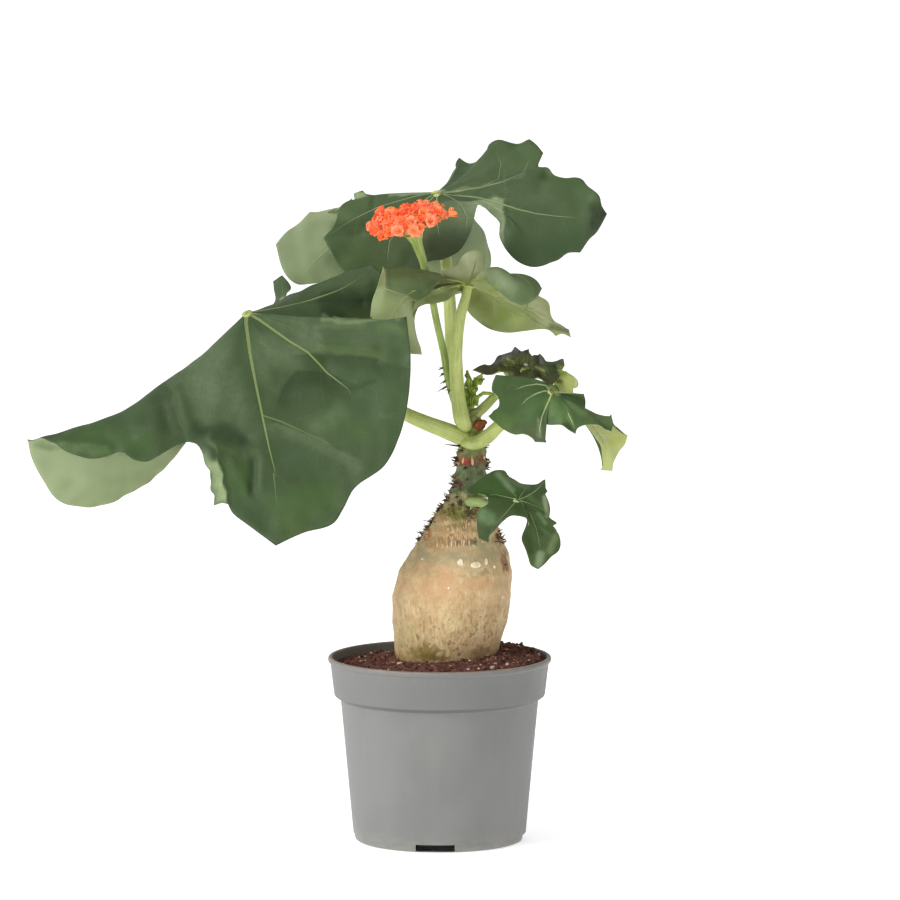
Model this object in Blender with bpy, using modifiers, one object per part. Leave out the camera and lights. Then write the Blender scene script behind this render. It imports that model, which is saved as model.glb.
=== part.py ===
"""A potted jatropha: swollen trunk, lobed shield-shaped leaves on long stalks, one coral flower head, in a
12 cm nursery pot. The origin is the middle of the pot's underside, with +Z up and the front towards -Y.

Sizes are in millimetres until a vertex is made. Leaf margins are laid out as they show from the front,
looking down by SIGHT_DEGREES: each point has its place across, its height as it shows on the plane Y = 0,
and its depth behind (+) or before (-) that plane.
"""

import math
import random

import bmesh
import bpy
from mathutils import Matrix, Vector
from mathutils.bvhtree import BVHTree
from mathutils.geometry import interpolate_bezier, intersect_point_line

MM = 0.001
GAP = 0.3
SIGHT_DEGREES = 8.0
SIGHT_SLOPE = math.tan(math.radians(SIGHT_DEGREES))

# Pot
POT_HEIGHT = 100.0
RIM_RADIUS = 60.0
BAND_TOP_RADIUS = 58.8
BAND_BOTTOM_RADIUS = 56.6
BAND_BOTTOM = 77.0
WALL_TOP_RADIUS = 53.0
WALL_TOP = 74.5
FOOT_RADIUS = 46.4
FOOT_ROUND = 3.2
POT_WALL = 1.2
FLOOR_THICKNESS = 1.6
POT_STEPS = 48
SLOT_WIDTH = 21.0
SLOT_HEIGHT = 3.4
SLOT_REACH = 14.0
SLOTS = 4
SLOT_TURN = -3.0

# Soil
SOIL_EDGE = 95.5
SOIL_MOUND = 5.5
SOIL_RINGS = (50.0, 43.0, 36.0)
SOIL_STEPS = 36
SOIL_LUMP = 0.9

# Blade thickness and how far a blade reaches out before it droops
BLADE_THICKNESS = 0.9
LEVEL_REACH = 0.62
LEVEL_DROP = 0.22

# Trunk centre line: across, depth, height, radius
TRUNK = (
    (3.5, 0.0, 70.0, 15.0),
    (3.5, 0.0, 80.0, 22.5),
    (3.6, 0.0, 92.0, 26.4),
    (4.0, 0.0, 105.0, 28.2),
    (5.4, 0.0, 119.0, 31.0),
    (6.6, 0.0, 133.0, 32.1),
    (8.4, 0.0, 146.0, 30.6),
    (10.4, 0.0, 156.0, 26.6),
    (11.8, 0.0, 165.0, 21.0),
    (12.8, 0.0, 174.0, 15.8),
    (14.4, 0.0, 184.0, 11.4),
    (16.2, 0.0, 194.0, 8.8),
    (17.0, 0.0, 206.0, 8.0),
    (17.0, 0.0, 216.0, 7.5),
    (17.5, 0.8, 225.0, 5.6),
    (18.0, 1.5, 234.0, 3.0),
)
TRUNK_SIDES = 26
TRUNK_SPACING = 10.0
TRUNK_TONE = (0.62, 0.47, 0.27)
STUB_ROWS = (
    # height, stubs round the trunk, length
    (161.0, 12, 3.4),
    (167.0, 12, 4.2),
    (173.0, 10, 4.0),
    (180.0, 9, 4.4),
    (187.0, 8, 3.8),
    (196.0, 7, 3.6),
    (206.0, 9, 3.4),
    (214.5, 6, 5.4),
)
STUB_RADIUS = 1.15

# Leaf stalks: across, depth, height, radius
STALKS = {
    "stalk_big": (
        (13.0, -2.0, 219.5, 4.7),
        (5.0, -5.0, 222.2, 4.5),
        (-5.0, -8.0, 226.6, 4.1),
        (-16.0, -11.0, 231.6, 3.7),
        (-45.0, -15.0, 246.0, 3.3),
        (-76.0, -17.0, 264.0, 2.9),
        (-96.0, -19.0, 278.0, 2.7),
        (-102.6, -21.6, 287.6, 2.6),
    ),
    "stalk_top": (
        (15.0, 3.0, 227.0, 3.8),
        (11.0, 7.5, 234.0, 3.9),
        (8.0, 9.5, 247.0, 3.7),
        (6.6, 11.0, 265.0, 3.6),
        (5.6, 13.5, 287.0, 3.4),
        (3.4, 20.0, 312.0, 3.1),
        (0.4, 29.0, 335.0, 2.8),
        (-1.4, 34.6, 346.4, 2.6),
    ),
    "stalk_middle": (
        (14.0, -2.0, 226.5, 4.2),
        (11.6, -8.6, 230.0, 4.3),
        (9.6, -8.8, 245.0, 3.8),
        (8.8, -8.6, 265.0, 3.5),
        (11.0, -7.8, 284.0, 2.9),
        (14.2, -6.6, 296.0, 2.5),
        (15.4, -6.0, 301.2, 2.3),
    ),
    "stalk_right": (
        (18.0, -2.0, 213.5, 3.9),
        (25.0, -7.0, 218.6, 3.8),
        (32.0, -10.0, 225.6, 3.4),
        (44.0, -11.5, 235.0, 2.8),
        (55.0, -12.5, 240.6, 2.4),
        (60.2, -13.8, 244.4, 2.2),
    ),
    "stalk_young": (
        (17.6, 0.6, 229.0, 2.7),
        (24.0, 0.4, 235.0, 2.7),
        (31.0, 1.0, 242.0, 2.3),
        (40.0, 3.0, 249.0, 1.9),
        (45.8, 4.0, 254.8, 1.7),
    ),
    "stalk_low": (
        (13.0, -6.0, 184.0, 2.7),
        (19.5, -15.0, 185.8, 2.7),
        (26.0, -20.0, 185.4, 2.4),
        (35.0, -22.6, 184.6, 2.1),
        (41.6, -23.6, 187.6, 1.9),
    ),
}
STALK_SIDES = 10
STALK_TONE = (0.42, 0.52, 0.16)

# Flower stalk and head
FLOWER_STALK = (
    (14.0, 1.4, 226.0, 2.4),
    (9.0, 0.6, 236.0, 2.3),
    (4.6, -0.2, 251.0, 2.1),
    (2.2, -1.4, 265.0, 2.0),
    (-1.4, -4.4, 281.0, 1.9),
    (-5.0, -9.0, 300.0, 1.9),
    (-9.0, -13.6, 316.0, 2.2),
    (-12.6, -17.0, 328.0, 3.0),
)
FLOWER_STALK_SPIKES = (
    # height up the stalk, turn round it in degrees, length
    (257.0, 200.0, 7.0),
    (252.0, 165.0, 6.0),
    (248.0, 215.0, 8.0),
    (244.0, 180.0, 6.5),
)
HEAD_CENTRE = Vector((-15.6, -18.0, 336.0))
HEAD_TILT = Vector((-0.22, -0.18, 1.0)).normalized()
HEAD_RADIUS = 21.5
HEAD_DOME = 6.0
CORE_UNDER = 3.4
FLORETS = 28
PETALS = 5
FLORET_DIAMETER = 9.2
FLORET_CUP = 1.8
PETAL_THICKNESS = 0.8
PETAL_OUTLINE = ((0.0, 0.42), (0.3, 1.0), (0.7, 1.0))
HEAD_RAYS = 6
GOLDEN_TURN = math.radians(137.508)

# Leaf blades. A point is (across, height as seen, depth), or the same with a fourth item: the place that
# the blade is drawn towards on its way from the stalk to that point of the margin.
BLADES = {
    "leaf_big": {
        "stalk_top": (-103.0, 285.5, -22.0),
        "pitch": 11.0,
        "rings": 6,
        "margin": (
            # far left lobe, front half
            (-220, 218, -30, (-155, 237, -26)),
            (-205, 213, -40, (-152, 234, -38)),
            (-190, 208, -47, (-148, 233, -46)),
            (-172, 209, -50, (-142, 235, -50)),
            (-156, 205, -52, (-138, 238, -52)),
            (-145, 211, -52, (-132, 240, -52)),
            (-136, 217, -50, (-124, 248, -50)),
            # bottom lobe
            (-128, 214, -53, (-118, 252, -52)),
            (-123, 202, -58),
            (-119, 190, -60),
            (-113, 181, -62),
            (-103, 172, -64),
            (-87, 160, -66),
            (-72, 167, -66),
            (-57, 171.5, -65),
            (-51, 180, -63),
            (-45, 191, -61),
            # right lobe
            (-30, 202, -59),
            (-23.5, 213, -57),
            (-18, 230, -54),
            (-15.5, 250, -51),
            (-16, 268, -48),
            (-17.5, 283, -44),
            (-38, 282, -40),
            (-57, 283.5, -30),
            # back right lobe
            (-42, 286, -14),
            (-31, 294, -6),
            (-28, 305, -2),
            (-36, 312, 0),
            (-50, 308.5, 4),
            (-64, 303, 8),
            (-76, 298, 12),
            (-86, 293, 14),
            # small back lobe
            (-80, 300, 30, (-80, 284, 14)),
            (-84, 306.5, 40, (-82, 283, 18)),
            (-90, 304, 44, (-84, 282, 20)),
            (-89, 295, 38, (-87, 282, 16)),
            (-98, 276, 28, (-97, 279, 6)),
            # far left lobe, back half
            (-116, 254, 22, (-108, 270, 2)),
            (-130, 230, 16, (-118, 258, -2)),
            (-141, 211, 11, (-126, 248, -3)),
            (-150, 200, 7, (-131, 242, -6)),
            (-163, 190, 2, (-136, 238, -9)),
            (-178, 183, -3, (-140, 235, -12)),
            (-191, 181, -8, (-144, 234, -15)),
            (-204, 184, -12, (-148, 234, -18)),
            (-211, 193, -17, (-151, 235, -21)),
            (-218, 207, -24, (-154, 236, -24)),
        ),
    },
    "leaf_top": {
        "stalk_top": (-1.5, 352.0, 35.0),
        "pitch": 10.0,
        "rings": 6,
        "margin": (
            # front left lobe
            (-47, 348.5, 33),
            (-53.5, 344, 28),
            (-56.5, 334, 22),
            (-62.5, 327, 18),
            (-58, 318, 15),
            (-52, 309, 13),
            (-42, 303, 12),
            (-28, 300, 11),
            (-15, 304, 10),
            (-7, 313, 10),
            # front right lobe
            (3, 315.5, 9),
            (10, 319, 10),
            (15, 326, 13),
            (18, 335, 19),
            (19.5, 342, 26),
            (21, 346.5, 31),
            # right lobe
            (27, 341, 26, (30, 349, 34)),
            (33, 335, 24, (42, 347, 32)),
            (32, 329, 22, (50, 346, 30)),
            (34, 321, 20, (52, 345, 28)),
            (40, 315, 18, (54, 343, 26)),
            (50, 311.5, 18, (54, 341, 26)),
            (60, 314.5, 19, (54, 342, 26)),
            (70, 318.5, 20, (52, 344, 27)),
            (77, 322, 21, (50, 346, 27)),
            (84, 332, 22, (48, 347, 28)),
            (89.5, 339.5, 24, (46, 347, 29)),
            (86.5, 348, 28, (44, 349, 31)),
            (80, 354, 32, (42, 351, 33)),
            (76, 360, 36, (42, 354, 35)),
            (66, 360.5, 38, (38, 356, 38)),
            (58, 365.5, 42, (32, 358, 42)),
            (52, 365, 48, (26, 357, 46)),
            # upper lobe
            (56, 373, 56, (28, 358, 50)),
            (50, 381, 62, (26, 360, 54)),
            (40, 380.5, 66, (22, 360, 56)),
            (31, 382, 68, (18, 360, 58)),
            (26, 376, 70, (14, 358, 60)),
            (21, 371, 72, (12, 357, 60)),
            (15, 369.5, 74),
            (10.5, 371.5, 76),
            (8.5, 366, 74),
            (10.5, 358, 72),
            (6, 354, 68),
            # back lobe, which hangs
            (16, 342, 74),
            (23, 331, 76),
            (27.5, 320, 74),
            (26.5, 309, 71),
            (17, 300, 68),
            (4, 297, 66),
            (-9, 303, 64),
            (-16, 322, 62),
            (-22, 341, 60, (-12, 348, 50)),
            # small tip at the back
            (-38, 348, 62, (-18, 346, 48)),
            (-42, 353.5, 60, (-22, 346, 47)),
            (-46.5, 352, 58, (-24, 346, 46)),
            (-45, 345, 55, (-24, 345, 45)),
            # back left lobe, which hangs
            (-42, 336, 54),
            (-47, 314, 50, (-44, 338, 48)),
            (-58, 305, 48, (-48, 338, 46)),
            (-68, 303, 47, (-50, 338, 45)),
            (-77, 302.5, 46, (-52, 338, 45)),
            (-84, 309, 45, (-54, 338, 45)),
            (-88.5, 324, 44, (-54, 340, 45)),
            (-83, 330.5, 44, (-52, 342, 44)),
            (-76, 335.5, 44, (-46, 345, 43)),
            (-70, 341.5, 45, (-40, 348, 42)),
            (-61, 341, 43),
        ),
    },
    "leaf_middle": {
        "stalk_top": (15.5, 301.0, -6.0),
        "pitch": 8.5,
        "rings": 5,
        "margin": (
            # front left lobe, which folds over towards the front
            (-29, 298, -37, (-18, 313, -28)),
            (-20, 294.5, -38, (-14, 313, -30)),
            (-12, 291, -38, (-8, 311, -30)),
            (-6, 295, -34, (-4, 309, -26)),
            (0, 303, -22, (4, 305, -16)),
            # upper lobe
            (1, 308, -12),
            (8, 311, -8),
            (13, 317.5, -4),
            (19, 320, -2),
            (24.5, 318.5, -1),
            (24, 311, -3),
            (24.5, 304.5, -10),
            # right lobe, which folds over towards the front
            (28, 300, -24, (25, 309, -14)),
            (38, 292, -30, (32, 312, -22)),
            (45, 290.5, -30, (38, 311, -24)),
            (51, 294, -28, (42, 307, -20)),
            (54.5, 299, -20, (40, 304, -14)),
            (53, 295, -8, (38, 300, -8)),
            # lower right lobe, which hangs behind its stalk
            (58.5, 291, -4, (42, 298, -4)),
            (60, 284, -2, (44, 294, -2)),
            (65, 279, 0, (46, 292, 0)),
            (70, 274.5, 2, (47, 291, 2)),
            (63, 274.5, 4, (45, 290, 4)),
            (55, 277.5, 6, (41, 291, 6)),
            (46, 276.5, 8, (37, 293, 8)),
            (36, 275.5, 9, (31, 296, 9)),
            (27, 277.5, 10, (25, 300, 10)),
            (20, 282, 10, (20, 303, 11)),
            (14.5, 288, 9, (16, 304, 9)),
            (11.5, 297, 2, (13, 304, 3)),
            # lower left lobe
            (9, 297, -12, (11, 302, -10)),
            (4, 292.5, -16, (7, 303, -13)),
            (-3, 290.5, -20, (3, 303, -16)),
            (-8, 290, -23, (-2, 303, -20)),
            # hanging left lobe
            (-15, 286.5, -26, (-14, 301, -26)),
            (-13, 274, -27, (-20, 299, -29)),
            (-9.5, 263, -27, (-24, 297, -30)),
            (-17, 264, -29, (-27, 297, -31)),
            (-27, 273, -31, (-29, 298, -32)),
            (-37, 283.5, -32, (-30, 300, -32)),
            (-36, 291, -32, (-28, 303, -31)),
            (-32.5, 301, -31, (-22, 308, -27)),
            (-30, 310, -30, (-14, 312, -22)),
        ),
    },
    "leaf_right": {
        "stalk_top": (60.5, 243.0, -14.0),
        "pitch": 7.0,
        "rings": 5,
        "margin": (
            # left lobe
            (55, 250, -9),
            (45, 250.5, -12),
            (36, 251, -15),
            (29, 251, -16),
            (28, 245, -19),
            (30, 239, -21),
            (25.5, 229, -24),
            (32, 223, -26),
            (39, 220, -28),
            (46, 219.5, -29),
            (51, 217, -30),
            (56.5, 216, -30),
            (55, 221, -28),
            (54.5, 227, -24),
            # right lobe, front half
            (60, 225.5, -26),
            (66, 225, -28),
            (73, 221, -30),
            (76, 224.5, -28),
            (82, 225, -27, (74, 236, -24)),
            (88, 223.5, -26, (78, 235, -23)),
            (93, 223.5, -24, (82, 233.5, -21)),
            (94, 227, -20, (82, 234, -18)),
            # right lobe, end that hangs behind
            (98, 222.5, -15, (85, 232, -16)),
            (101, 219, -12, (88, 230, -14)),
            (98, 213, -11, (88, 229, -13)),
            (94, 207, -11, (87, 228, -12)),
            (92.5, 201, -12, (87, 227, -12)),
            (86.5, 201.5, -12, (85, 227, -12)),
            (88.5, 208, -11, (84, 228, -11)),
            (86, 217, -9, (81, 230, -11)),
            (79, 226, -6, (75, 234, -10)),
            (76, 232, -6),
            # right lobe, upper edge
            (79, 237, -9),
            (78, 242, -10),
            (72, 242, -8),
            (66, 243, -5),
            (61, 248, -2),
        ),
    },
    "leaf_young": {
        "stalk_top": (46.0, 256.0, 4.0),
        "pitch": 6.5,
        "rings": 4,
        "margin": (
            (16, 254.5, 4),
            (22, 252.5, 2),
            (30, 251.5, 0),
            (38, 251, -1),
            (46, 251, -1),
            (54, 249.5, -1),
            (61, 250.5, 0, (54, 256, 0)),
            # pale end, which hangs behind
            (67, 257, 2, (58, 258, 2)),
            (73, 251.5, 4, (62, 257, 3)),
            (74.5, 247, 5, (63, 256, 4)),
            (72, 241, 5, (63, 255, 5)),
            (66, 241, 5, (61, 255, 6)),
            (63, 248, 6, (58, 257, 7)),
            # upper edge with its points
            (66.5, 260.5, 9),
            (58, 259.5, 10),
            (54, 264, 13),
            (50, 261.5, 12),
            (48, 267, 14),
            (44, 265, 14),
            (40.5, 267, 15),
            (38, 263.5, 13),
            (32, 262.5, 11),
            (27, 257.5, 8),
            (23, 258.5, 6),
        ),
    },
    "leaf_low": {
        "stalk_top": (42.0, 185.0, -24.0),
        "pitch": 6.5,
        "rings": 5,
        "margin": (
            # left lobe
            (41, 195.5, -21),
            (37, 198.5, -22),
            (31, 200.5, -23),
            (26, 198.5, -24),
            (20, 193.5, -25),
            (15.5, 188, -26),
            (19, 183, -28),
            # lower left lobe
            (21, 177, -29, (31, 183, -27)),
            (20.5, 170, -30, (30, 182, -28)),
            (22, 163, -31, (30, 181, -29)),
            (26.5, 163.5, -32, (31, 180, -29)),
            (29, 168.5, -32, (33, 180, -29)),
            (34, 174, -30, (36, 181, -28)),
            (40, 176, -29),
            # lower right lobe
            (46, 175, -29, (46, 181, -27)),
            (47.5, 171, -30, (49, 179, -28)),
            (44.5, 166, -31, (50, 178, -29)),
            (44.5, 160, -32, (51, 177, -29)),
            (47.5, 153, -33, (51, 176, -29)),
            (52.5, 147, -34, (52, 176, -29)),
            (59, 152, -33, (52, 176, -28)),
            (64, 157, -31, (53, 177, -27)),
            (65, 163, -29, (53, 178, -26)),
            (62.5, 169, -27, (53, 179, -25)),
            (58.5, 173, -25, (52, 181, -25)),
            # right lobe
            (59.5, 179, -22),
            (58, 187, -21),
            (57, 195.5, -20),
            (52, 192.5, -19),
            (45, 193.5, -20),
        ),
    },
}
BLADE_TONES = {
    "leaf_big": (0.075, 0.15, 0.045),
    "leaf_top": (0.08, 0.16, 0.05),
    "leaf_middle": (0.12, 0.21, 0.07),
    "leaf_right": (0.07, 0.15, 0.04),
    "leaf_young": (0.035, 0.05, 0.025),
    "leaf_low": (0.05, 0.13, 0.03),
}
STALK_OF_BLADE = {
    "leaf_big": "stalk_big",
    "leaf_top": "stalk_top",
    "leaf_middle": "stalk_middle",
    "leaf_right": "stalk_right",
    "leaf_young": "stalk_young",
    "leaf_low": "stalk_low",
}

# Which stalk is cut back from which where two leave the stem side by side
STALKS_THAT_MEET = (
    ("stalk_middle", "stalk_big"),
    ("stalk_top", "stalk_middle"),
    ("stalk_young", "stalk_right"),
)

# Young shoot at the tip of the stem: small folded blades, as (turn in degrees, lean in degrees, length)
SHOOT_FOOT = (17.2, -1.2, 236.4)
SHOOT_FOOT_RADIUS = 2.2
SHOOT_BLADE_WIDTH = 4.6
SHOOT_BLADE_THICKNESS = 1.7
SHOOT_BLADES = ((250.0, 10.0, 21.0), (330.0, 24.0, 16.0), (190.0, 30.0, 14.0), (60.0, 20.0, 15.0))
SHOOT_TONE = (0.22, 0.32, 0.06)


def clear_scene():
    """Removes what the scene holds at the start."""
    for thing in list(bpy.data.objects):
        bpy.data.objects.remove(thing)


def new_collection(name, hidden=False):
    """A collection in the scene, for the plant or for its cutters."""
    made = bpy.data.collections.new(name)
    bpy.context.scene.collection.children.link(made)
    made.hide_render = hidden
    return made


def material(name, tone, roughness):
    """A plain Principled finish."""
    made = bpy.data.materials.new(name)
    made.use_nodes = True
    shader = made.node_tree.nodes["Principled BSDF"]
    shader.inputs["Base Color"].default_value = (*tone, 1.0)
    shader.inputs["Roughness"].default_value = roughness
    shader.inputs["Metallic"].default_value = 0.0
    return made


def place(name, data, collection, finish=None):
    """An object of its own for some mesh or curve data."""
    made = bpy.data.objects.new(name, data)
    collection.objects.link(made)
    if finish is not None:
        data.materials.append(finish)
    return made


def finish_mesh(name, work, collection, turn=None, seat=None):
    """Turns a bmesh about the origin, moves it to its seat in millimetres, and makes it an object."""
    if turn is not None:
        bmesh.ops.rotate(work, cent=(0.0, 0.0, 0.0), matrix=turn, verts=work.verts)
    if seat is not None:
        bmesh.ops.translate(work, vec=Vector(seat) * MM, verts=work.verts)
    mesh = bpy.data.meshes.new(name)
    work.to_mesh(mesh)
    work.free()
    return place(name, mesh, collection)


def as_cutter(thing):
    """Marks an object as a cutter, which isn't part of the plant."""
    thing.hide_render = True
    thing.display_type = "WIRE"
    return thing


def as_mesh(curve_object):
    """Swaps a curve object for a mesh object with welded caps, in the same place and collection."""
    graph = bpy.context.evaluated_depsgraph_get()
    mesh = bpy.data.meshes.new_from_object(curve_object.evaluated_get(graph))
    work = bmesh.new()
    work.from_mesh(mesh)
    bmesh.ops.remove_doubles(work, verts=work.verts, dist=0.01 * MM)
    bmesh.ops.recalc_face_normals(work, faces=work.faces)
    work.to_mesh(mesh)
    work.free()
    collection = curve_object.users_collection[0]
    name = curve_object.name
    matrix = curve_object.matrix_world.copy()
    bpy.data.objects.remove(curve_object)
    made = place(name, mesh, collection)
    made.matrix_world = matrix
    return made


def smooth_points(points, steps_for, closed=False):
    """Points on a smooth curve through the given ones; steps_for gives how many lie in each span."""
    count = len(points)
    spans = count if closed else count - 1
    made = []
    for i in range(spans):
        here, there = points[i], points[(i + 1) % count]
        before = points[i - 1] if closed or i else here
        after = points[(i + 2) % count] if closed or i + 2 < count else there
        pull = (there - here).length / 3.0
        leave = here + (there - before).normalized() * pull
        arrive = there - (after - here).normalized() * pull
        steps = steps_for(here, there)
        made += interpolate_bezier(here, leave, arrive, there, steps + 1)[:-1]
    return made if closed else made + [points[-1]]


def stalk_line(route, spacing=9.0):
    """The smooth line of a route of (across, depth, height, radius), as a list of (point, radius)."""
    places = [Vector(row[:3]) for row in route]
    widths = [Vector((row[3], 0.0, 0.0)) for row in route]
    counts = [
        max(1, round((there - here).length / spacing)) for here, there in zip(places, places[1:])
    ]
    first, second = iter(counts), iter(counts)
    points = smooth_points(places, lambda a, b: next(first))
    radii = smooth_points(widths, lambda a, b: next(second))
    return [(point, radius.x) for point, radius in zip(points, radii)]


def tube(name, line, sides, collection, swell=0.0):
    """A round stalk along a line of (point, radius), thickened all round by swell."""
    curve = bpy.data.curves.new(name, "CURVE")
    curve.dimensions = "3D"
    curve.bevel_depth = MM
    curve.bevel_resolution = (sides - 4) // 2
    curve.use_fill_caps = True
    spline = curve.splines.new("POLY")
    spline.points.add(len(line) - 1)
    for knot, (point, radius) in zip(spline.points, line):
        knot.co = (*(point * MM), 1.0)
        knot.radius = radius + swell
    return as_mesh(place(name, curve, collection))


def end_below(line, sheet, clear):
    """Shortens a line until its flat end, at full radius, stays this clear of a sheet."""
    work = bmesh.new()
    work.from_mesh(sheet.data)
    tree = BVHTree.FromBMesh(work)
    work.free()

    def is_clear(point, along, radius):
        side = along.orthogonal().normalized()
        ring = [point]
        for i in range(12):
            ring.append(point + Matrix.Rotation(math.tau * i / 12, 3, along) @ side * radius)
        return all(tree.find_nearest(p * MM)[3] > clear * MM for p in ring)

    kept = list(line)
    while len(kept) > 2:
        (start, thin), (end, thick) = kept[-2], kept[-1]
        along = (end - start).normalized()
        if is_clear(start, along, thin):
            break
        kept.pop()
    for share in range(99, 0, -1):
        point = start.lerp(end, share / 100.0)
        radius = thin + (thick - thin) * share / 100.0
        if is_clear(point, along, radius):
            break
    return [*kept[:-1], (point, radius)]


def carve(piece, cutter, solver="EXACT"):
    """Cuts one object out of another, live."""
    cut = piece.modifiers.new(f"cut by {cutter.name}", "BOOLEAN")
    cut.operation = "DIFFERENCE"
    cut.solver = solver
    cut.object = as_cutter(cutter)


def bake_modifiers(piece):
    """Makes an object's modifiers part of its mesh."""
    graph = bpy.context.evaluated_depsgraph_get()
    mesh = bpy.data.meshes.new_from_object(piece.evaluated_get(graph))
    piece.modifiers.clear()
    piece.data = mesh


def keep_largest(piece):
    """Drops the scraps that a cut leaves, and keeps the largest body."""
    work = bmesh.new()
    work.from_mesh(piece.data)
    unseen = set(work.verts)
    bodies = []
    while unseen:
        body, edge = set(), [unseen.pop()]
        while edge:
            vertex = edge.pop()
            body.add(vertex)
            fresh = {e.other_vert(vertex) for e in vertex.link_edges} & unseen
            unseen -= fresh
            edge += fresh
        faces = {face for vertex in body for face in vertex.link_faces}
        bodies.append((sum(face.calc_area() for face in faces), len(bodies), list(body)))
    for _, _, body in sorted(bodies)[:-1]:
        bmesh.ops.delete(work, geom=body, context="VERTS")
    work.to_mesh(piece.data)
    work.free()


def fuse(name, body, repeats, collection):
    """Joins a body and the repeats that grow from it into one solid, and removes the repeats."""
    loose = bpy.data.collections.new(f"{name} repeats")
    for piece in repeats:
        for holder in list(piece.users_collection):
            holder.objects.unlink(piece)
        loose.objects.link(piece)
    join = body.modifiers.new("join repeats", "BOOLEAN")
    join.operation = "UNION"
    join.solver = "MANIFOLD"
    join.operand_type = "COLLECTION"
    join.collection = loose
    bpy.context.scene.collection.children.link(loose)
    bake_modifiers(body)
    for piece in list(loose.objects):
        bpy.data.objects.remove(piece)
    bpy.data.collections.remove(loose)
    body.name = name
    return body


def turned(name, profile, steps, collection):
    """A solid of revolution about Z from a closed profile of (radius, height)."""
    mesh = bpy.data.meshes.new(name)
    made = place(name, mesh, collection)
    work = bmesh.new()
    knots = [work.verts.new((r * MM, 0.0, z * MM)) for r, z in profile]
    for here, there in zip(knots, knots[1:]):
        work.edges.new((here, there))
    work.to_mesh(mesh)
    work.free()
    screw = made.modifiers.new("turn", "SCREW")
    screw.steps = screw.render_steps = steps
    screw.use_merge_vertices = True
    screw.merge_threshold = 0.01 * MM
    return made


def build_pot(collection, cutters):
    """The grey nursery pot: tapered wall, deep collar, rolled lip, flat foot with four drain slots."""
    lip = 3.2
    foot = [
        (
            FOOT_RADIUS - FOOT_ROUND * (1.0 - math.cos(turn)),
            FOOT_ROUND * (1.0 - math.sin(turn)),
        )
        for turn in (0.0, math.radians(45.0), math.radians(90.0))
    ]
    profile = [
        (0.0, FLOOR_THICKNESS),
        (FOOT_RADIUS - POT_WALL - FOOT_ROUND * 0.6, FLOOR_THICKNESS),
        (FOOT_RADIUS - POT_WALL, FLOOR_THICKNESS + FOOT_ROUND * 0.6),
        (WALL_TOP_RADIUS - POT_WALL, WALL_TOP),
        (BAND_BOTTOM_RADIUS - POT_WALL, BAND_BOTTOM + POT_WALL),
        (BAND_TOP_RADIUS - POT_WALL, POT_HEIGHT - lip),
        (BAND_TOP_RADIUS - 0.9, POT_HEIGHT),
        (RIM_RADIUS - 0.6, POT_HEIGHT),
        (RIM_RADIUS, POT_HEIGHT - 0.8),
        (RIM_RADIUS, POT_HEIGHT - lip + 0.7),
        (BAND_TOP_RADIUS, POT_HEIGHT - lip),
        (BAND_BOTTOM_RADIUS, BAND_BOTTOM),
        (WALL_TOP_RADIUS, WALL_TOP),
        *foot,
        (0.0, 0.0),
    ]
    pot = turned("pot", profile, POT_STEPS, collection)
    pot.data.materials.append(material("grey plastic", (0.30, 0.32, 0.32), 0.5))
    for slot in range(SLOTS):
        work = bmesh.new()
        bmesh.ops.create_cube(work, size=1.0)
        size = (SLOT_WIDTH, SLOT_REACH * 2.0, SLOT_HEIGHT * 2.0)
        bmesh.ops.scale(work, vec=[s * MM for s in size], verts=work.verts)
        bmesh.ops.translate(work, vec=(0.0, -FOOT_RADIUS * MM, 0.0), verts=work.verts)
        turn = Matrix.Rotation(math.tau * slot / SLOTS + math.radians(SLOT_TURN), 3, "Z")
        carve(pot, finish_mesh(f"drain slot {slot + 1}", work, cutters, turn))
    return pot


def soil_height(x, y):
    """The potting soil's surface: higher round the trunk and to the right, with small lumps."""
    reach = math.hypot(x - 5.0, y)
    mound = SOIL_MOUND * math.exp(-((reach / 40.0) ** 2))
    side = 1.4 * x / 50.0
    lumps = math.sin(x * 0.71 + y * 0.33) * math.cos(y * 0.83 - x * 0.29)
    return SOIL_EDGE + mound + side + SOIL_LUMP * lumps


def build_soil(collection, cutters):
    """Potting soil that fills the pot to just under its lip, with a plain hole for the trunk's foot."""
    side = GAP
    profile = [
        (0.0, SOIL_EDGE),
        *[(r, SOIL_EDGE) for r in reversed(SOIL_RINGS)],
        (BAND_TOP_RADIUS - POT_WALL - side - 0.3, SOIL_EDGE),
        (BAND_BOTTOM_RADIUS - POT_WALL - side, BAND_BOTTOM + POT_WALL),
        (WALL_TOP_RADIUS - POT_WALL - side, WALL_TOP),
        (FOOT_RADIUS - POT_WALL - side, FLOOR_THICKNESS + side + FOOT_ROUND * 0.6),
        (FOOT_RADIUS - POT_WALL - FOOT_ROUND * 0.6 - side, FLOOR_THICKNESS + side),
        (0.0, FLOOR_THICKNESS + side),
    ]
    soil = turned("soil", profile, SOIL_STEPS, collection)
    bake_modifiers(soil)
    for vertex in soil.data.vertices:
        if abs(vertex.co.z - SOIL_EDGE * MM) < 0.01 * MM:
            x, y = vertex.co.x / MM, vertex.co.y / MM
            edge = math.hypot(x, y) > SOIL_RINGS[0] + 1.0
            vertex.co.z = (SOIL_EDGE if edge else soil_height(x, y)) * MM
    soil.data.materials.append(material("brown soil", (0.10, 0.045, 0.03), 0.95))
    line = stalk_line(TRUNK[:7], TRUNK_SPACING)
    carve(soil, tube("trunk hole", line, TRUNK_SIDES, cutters, swell=GAP))
    return soil


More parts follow.
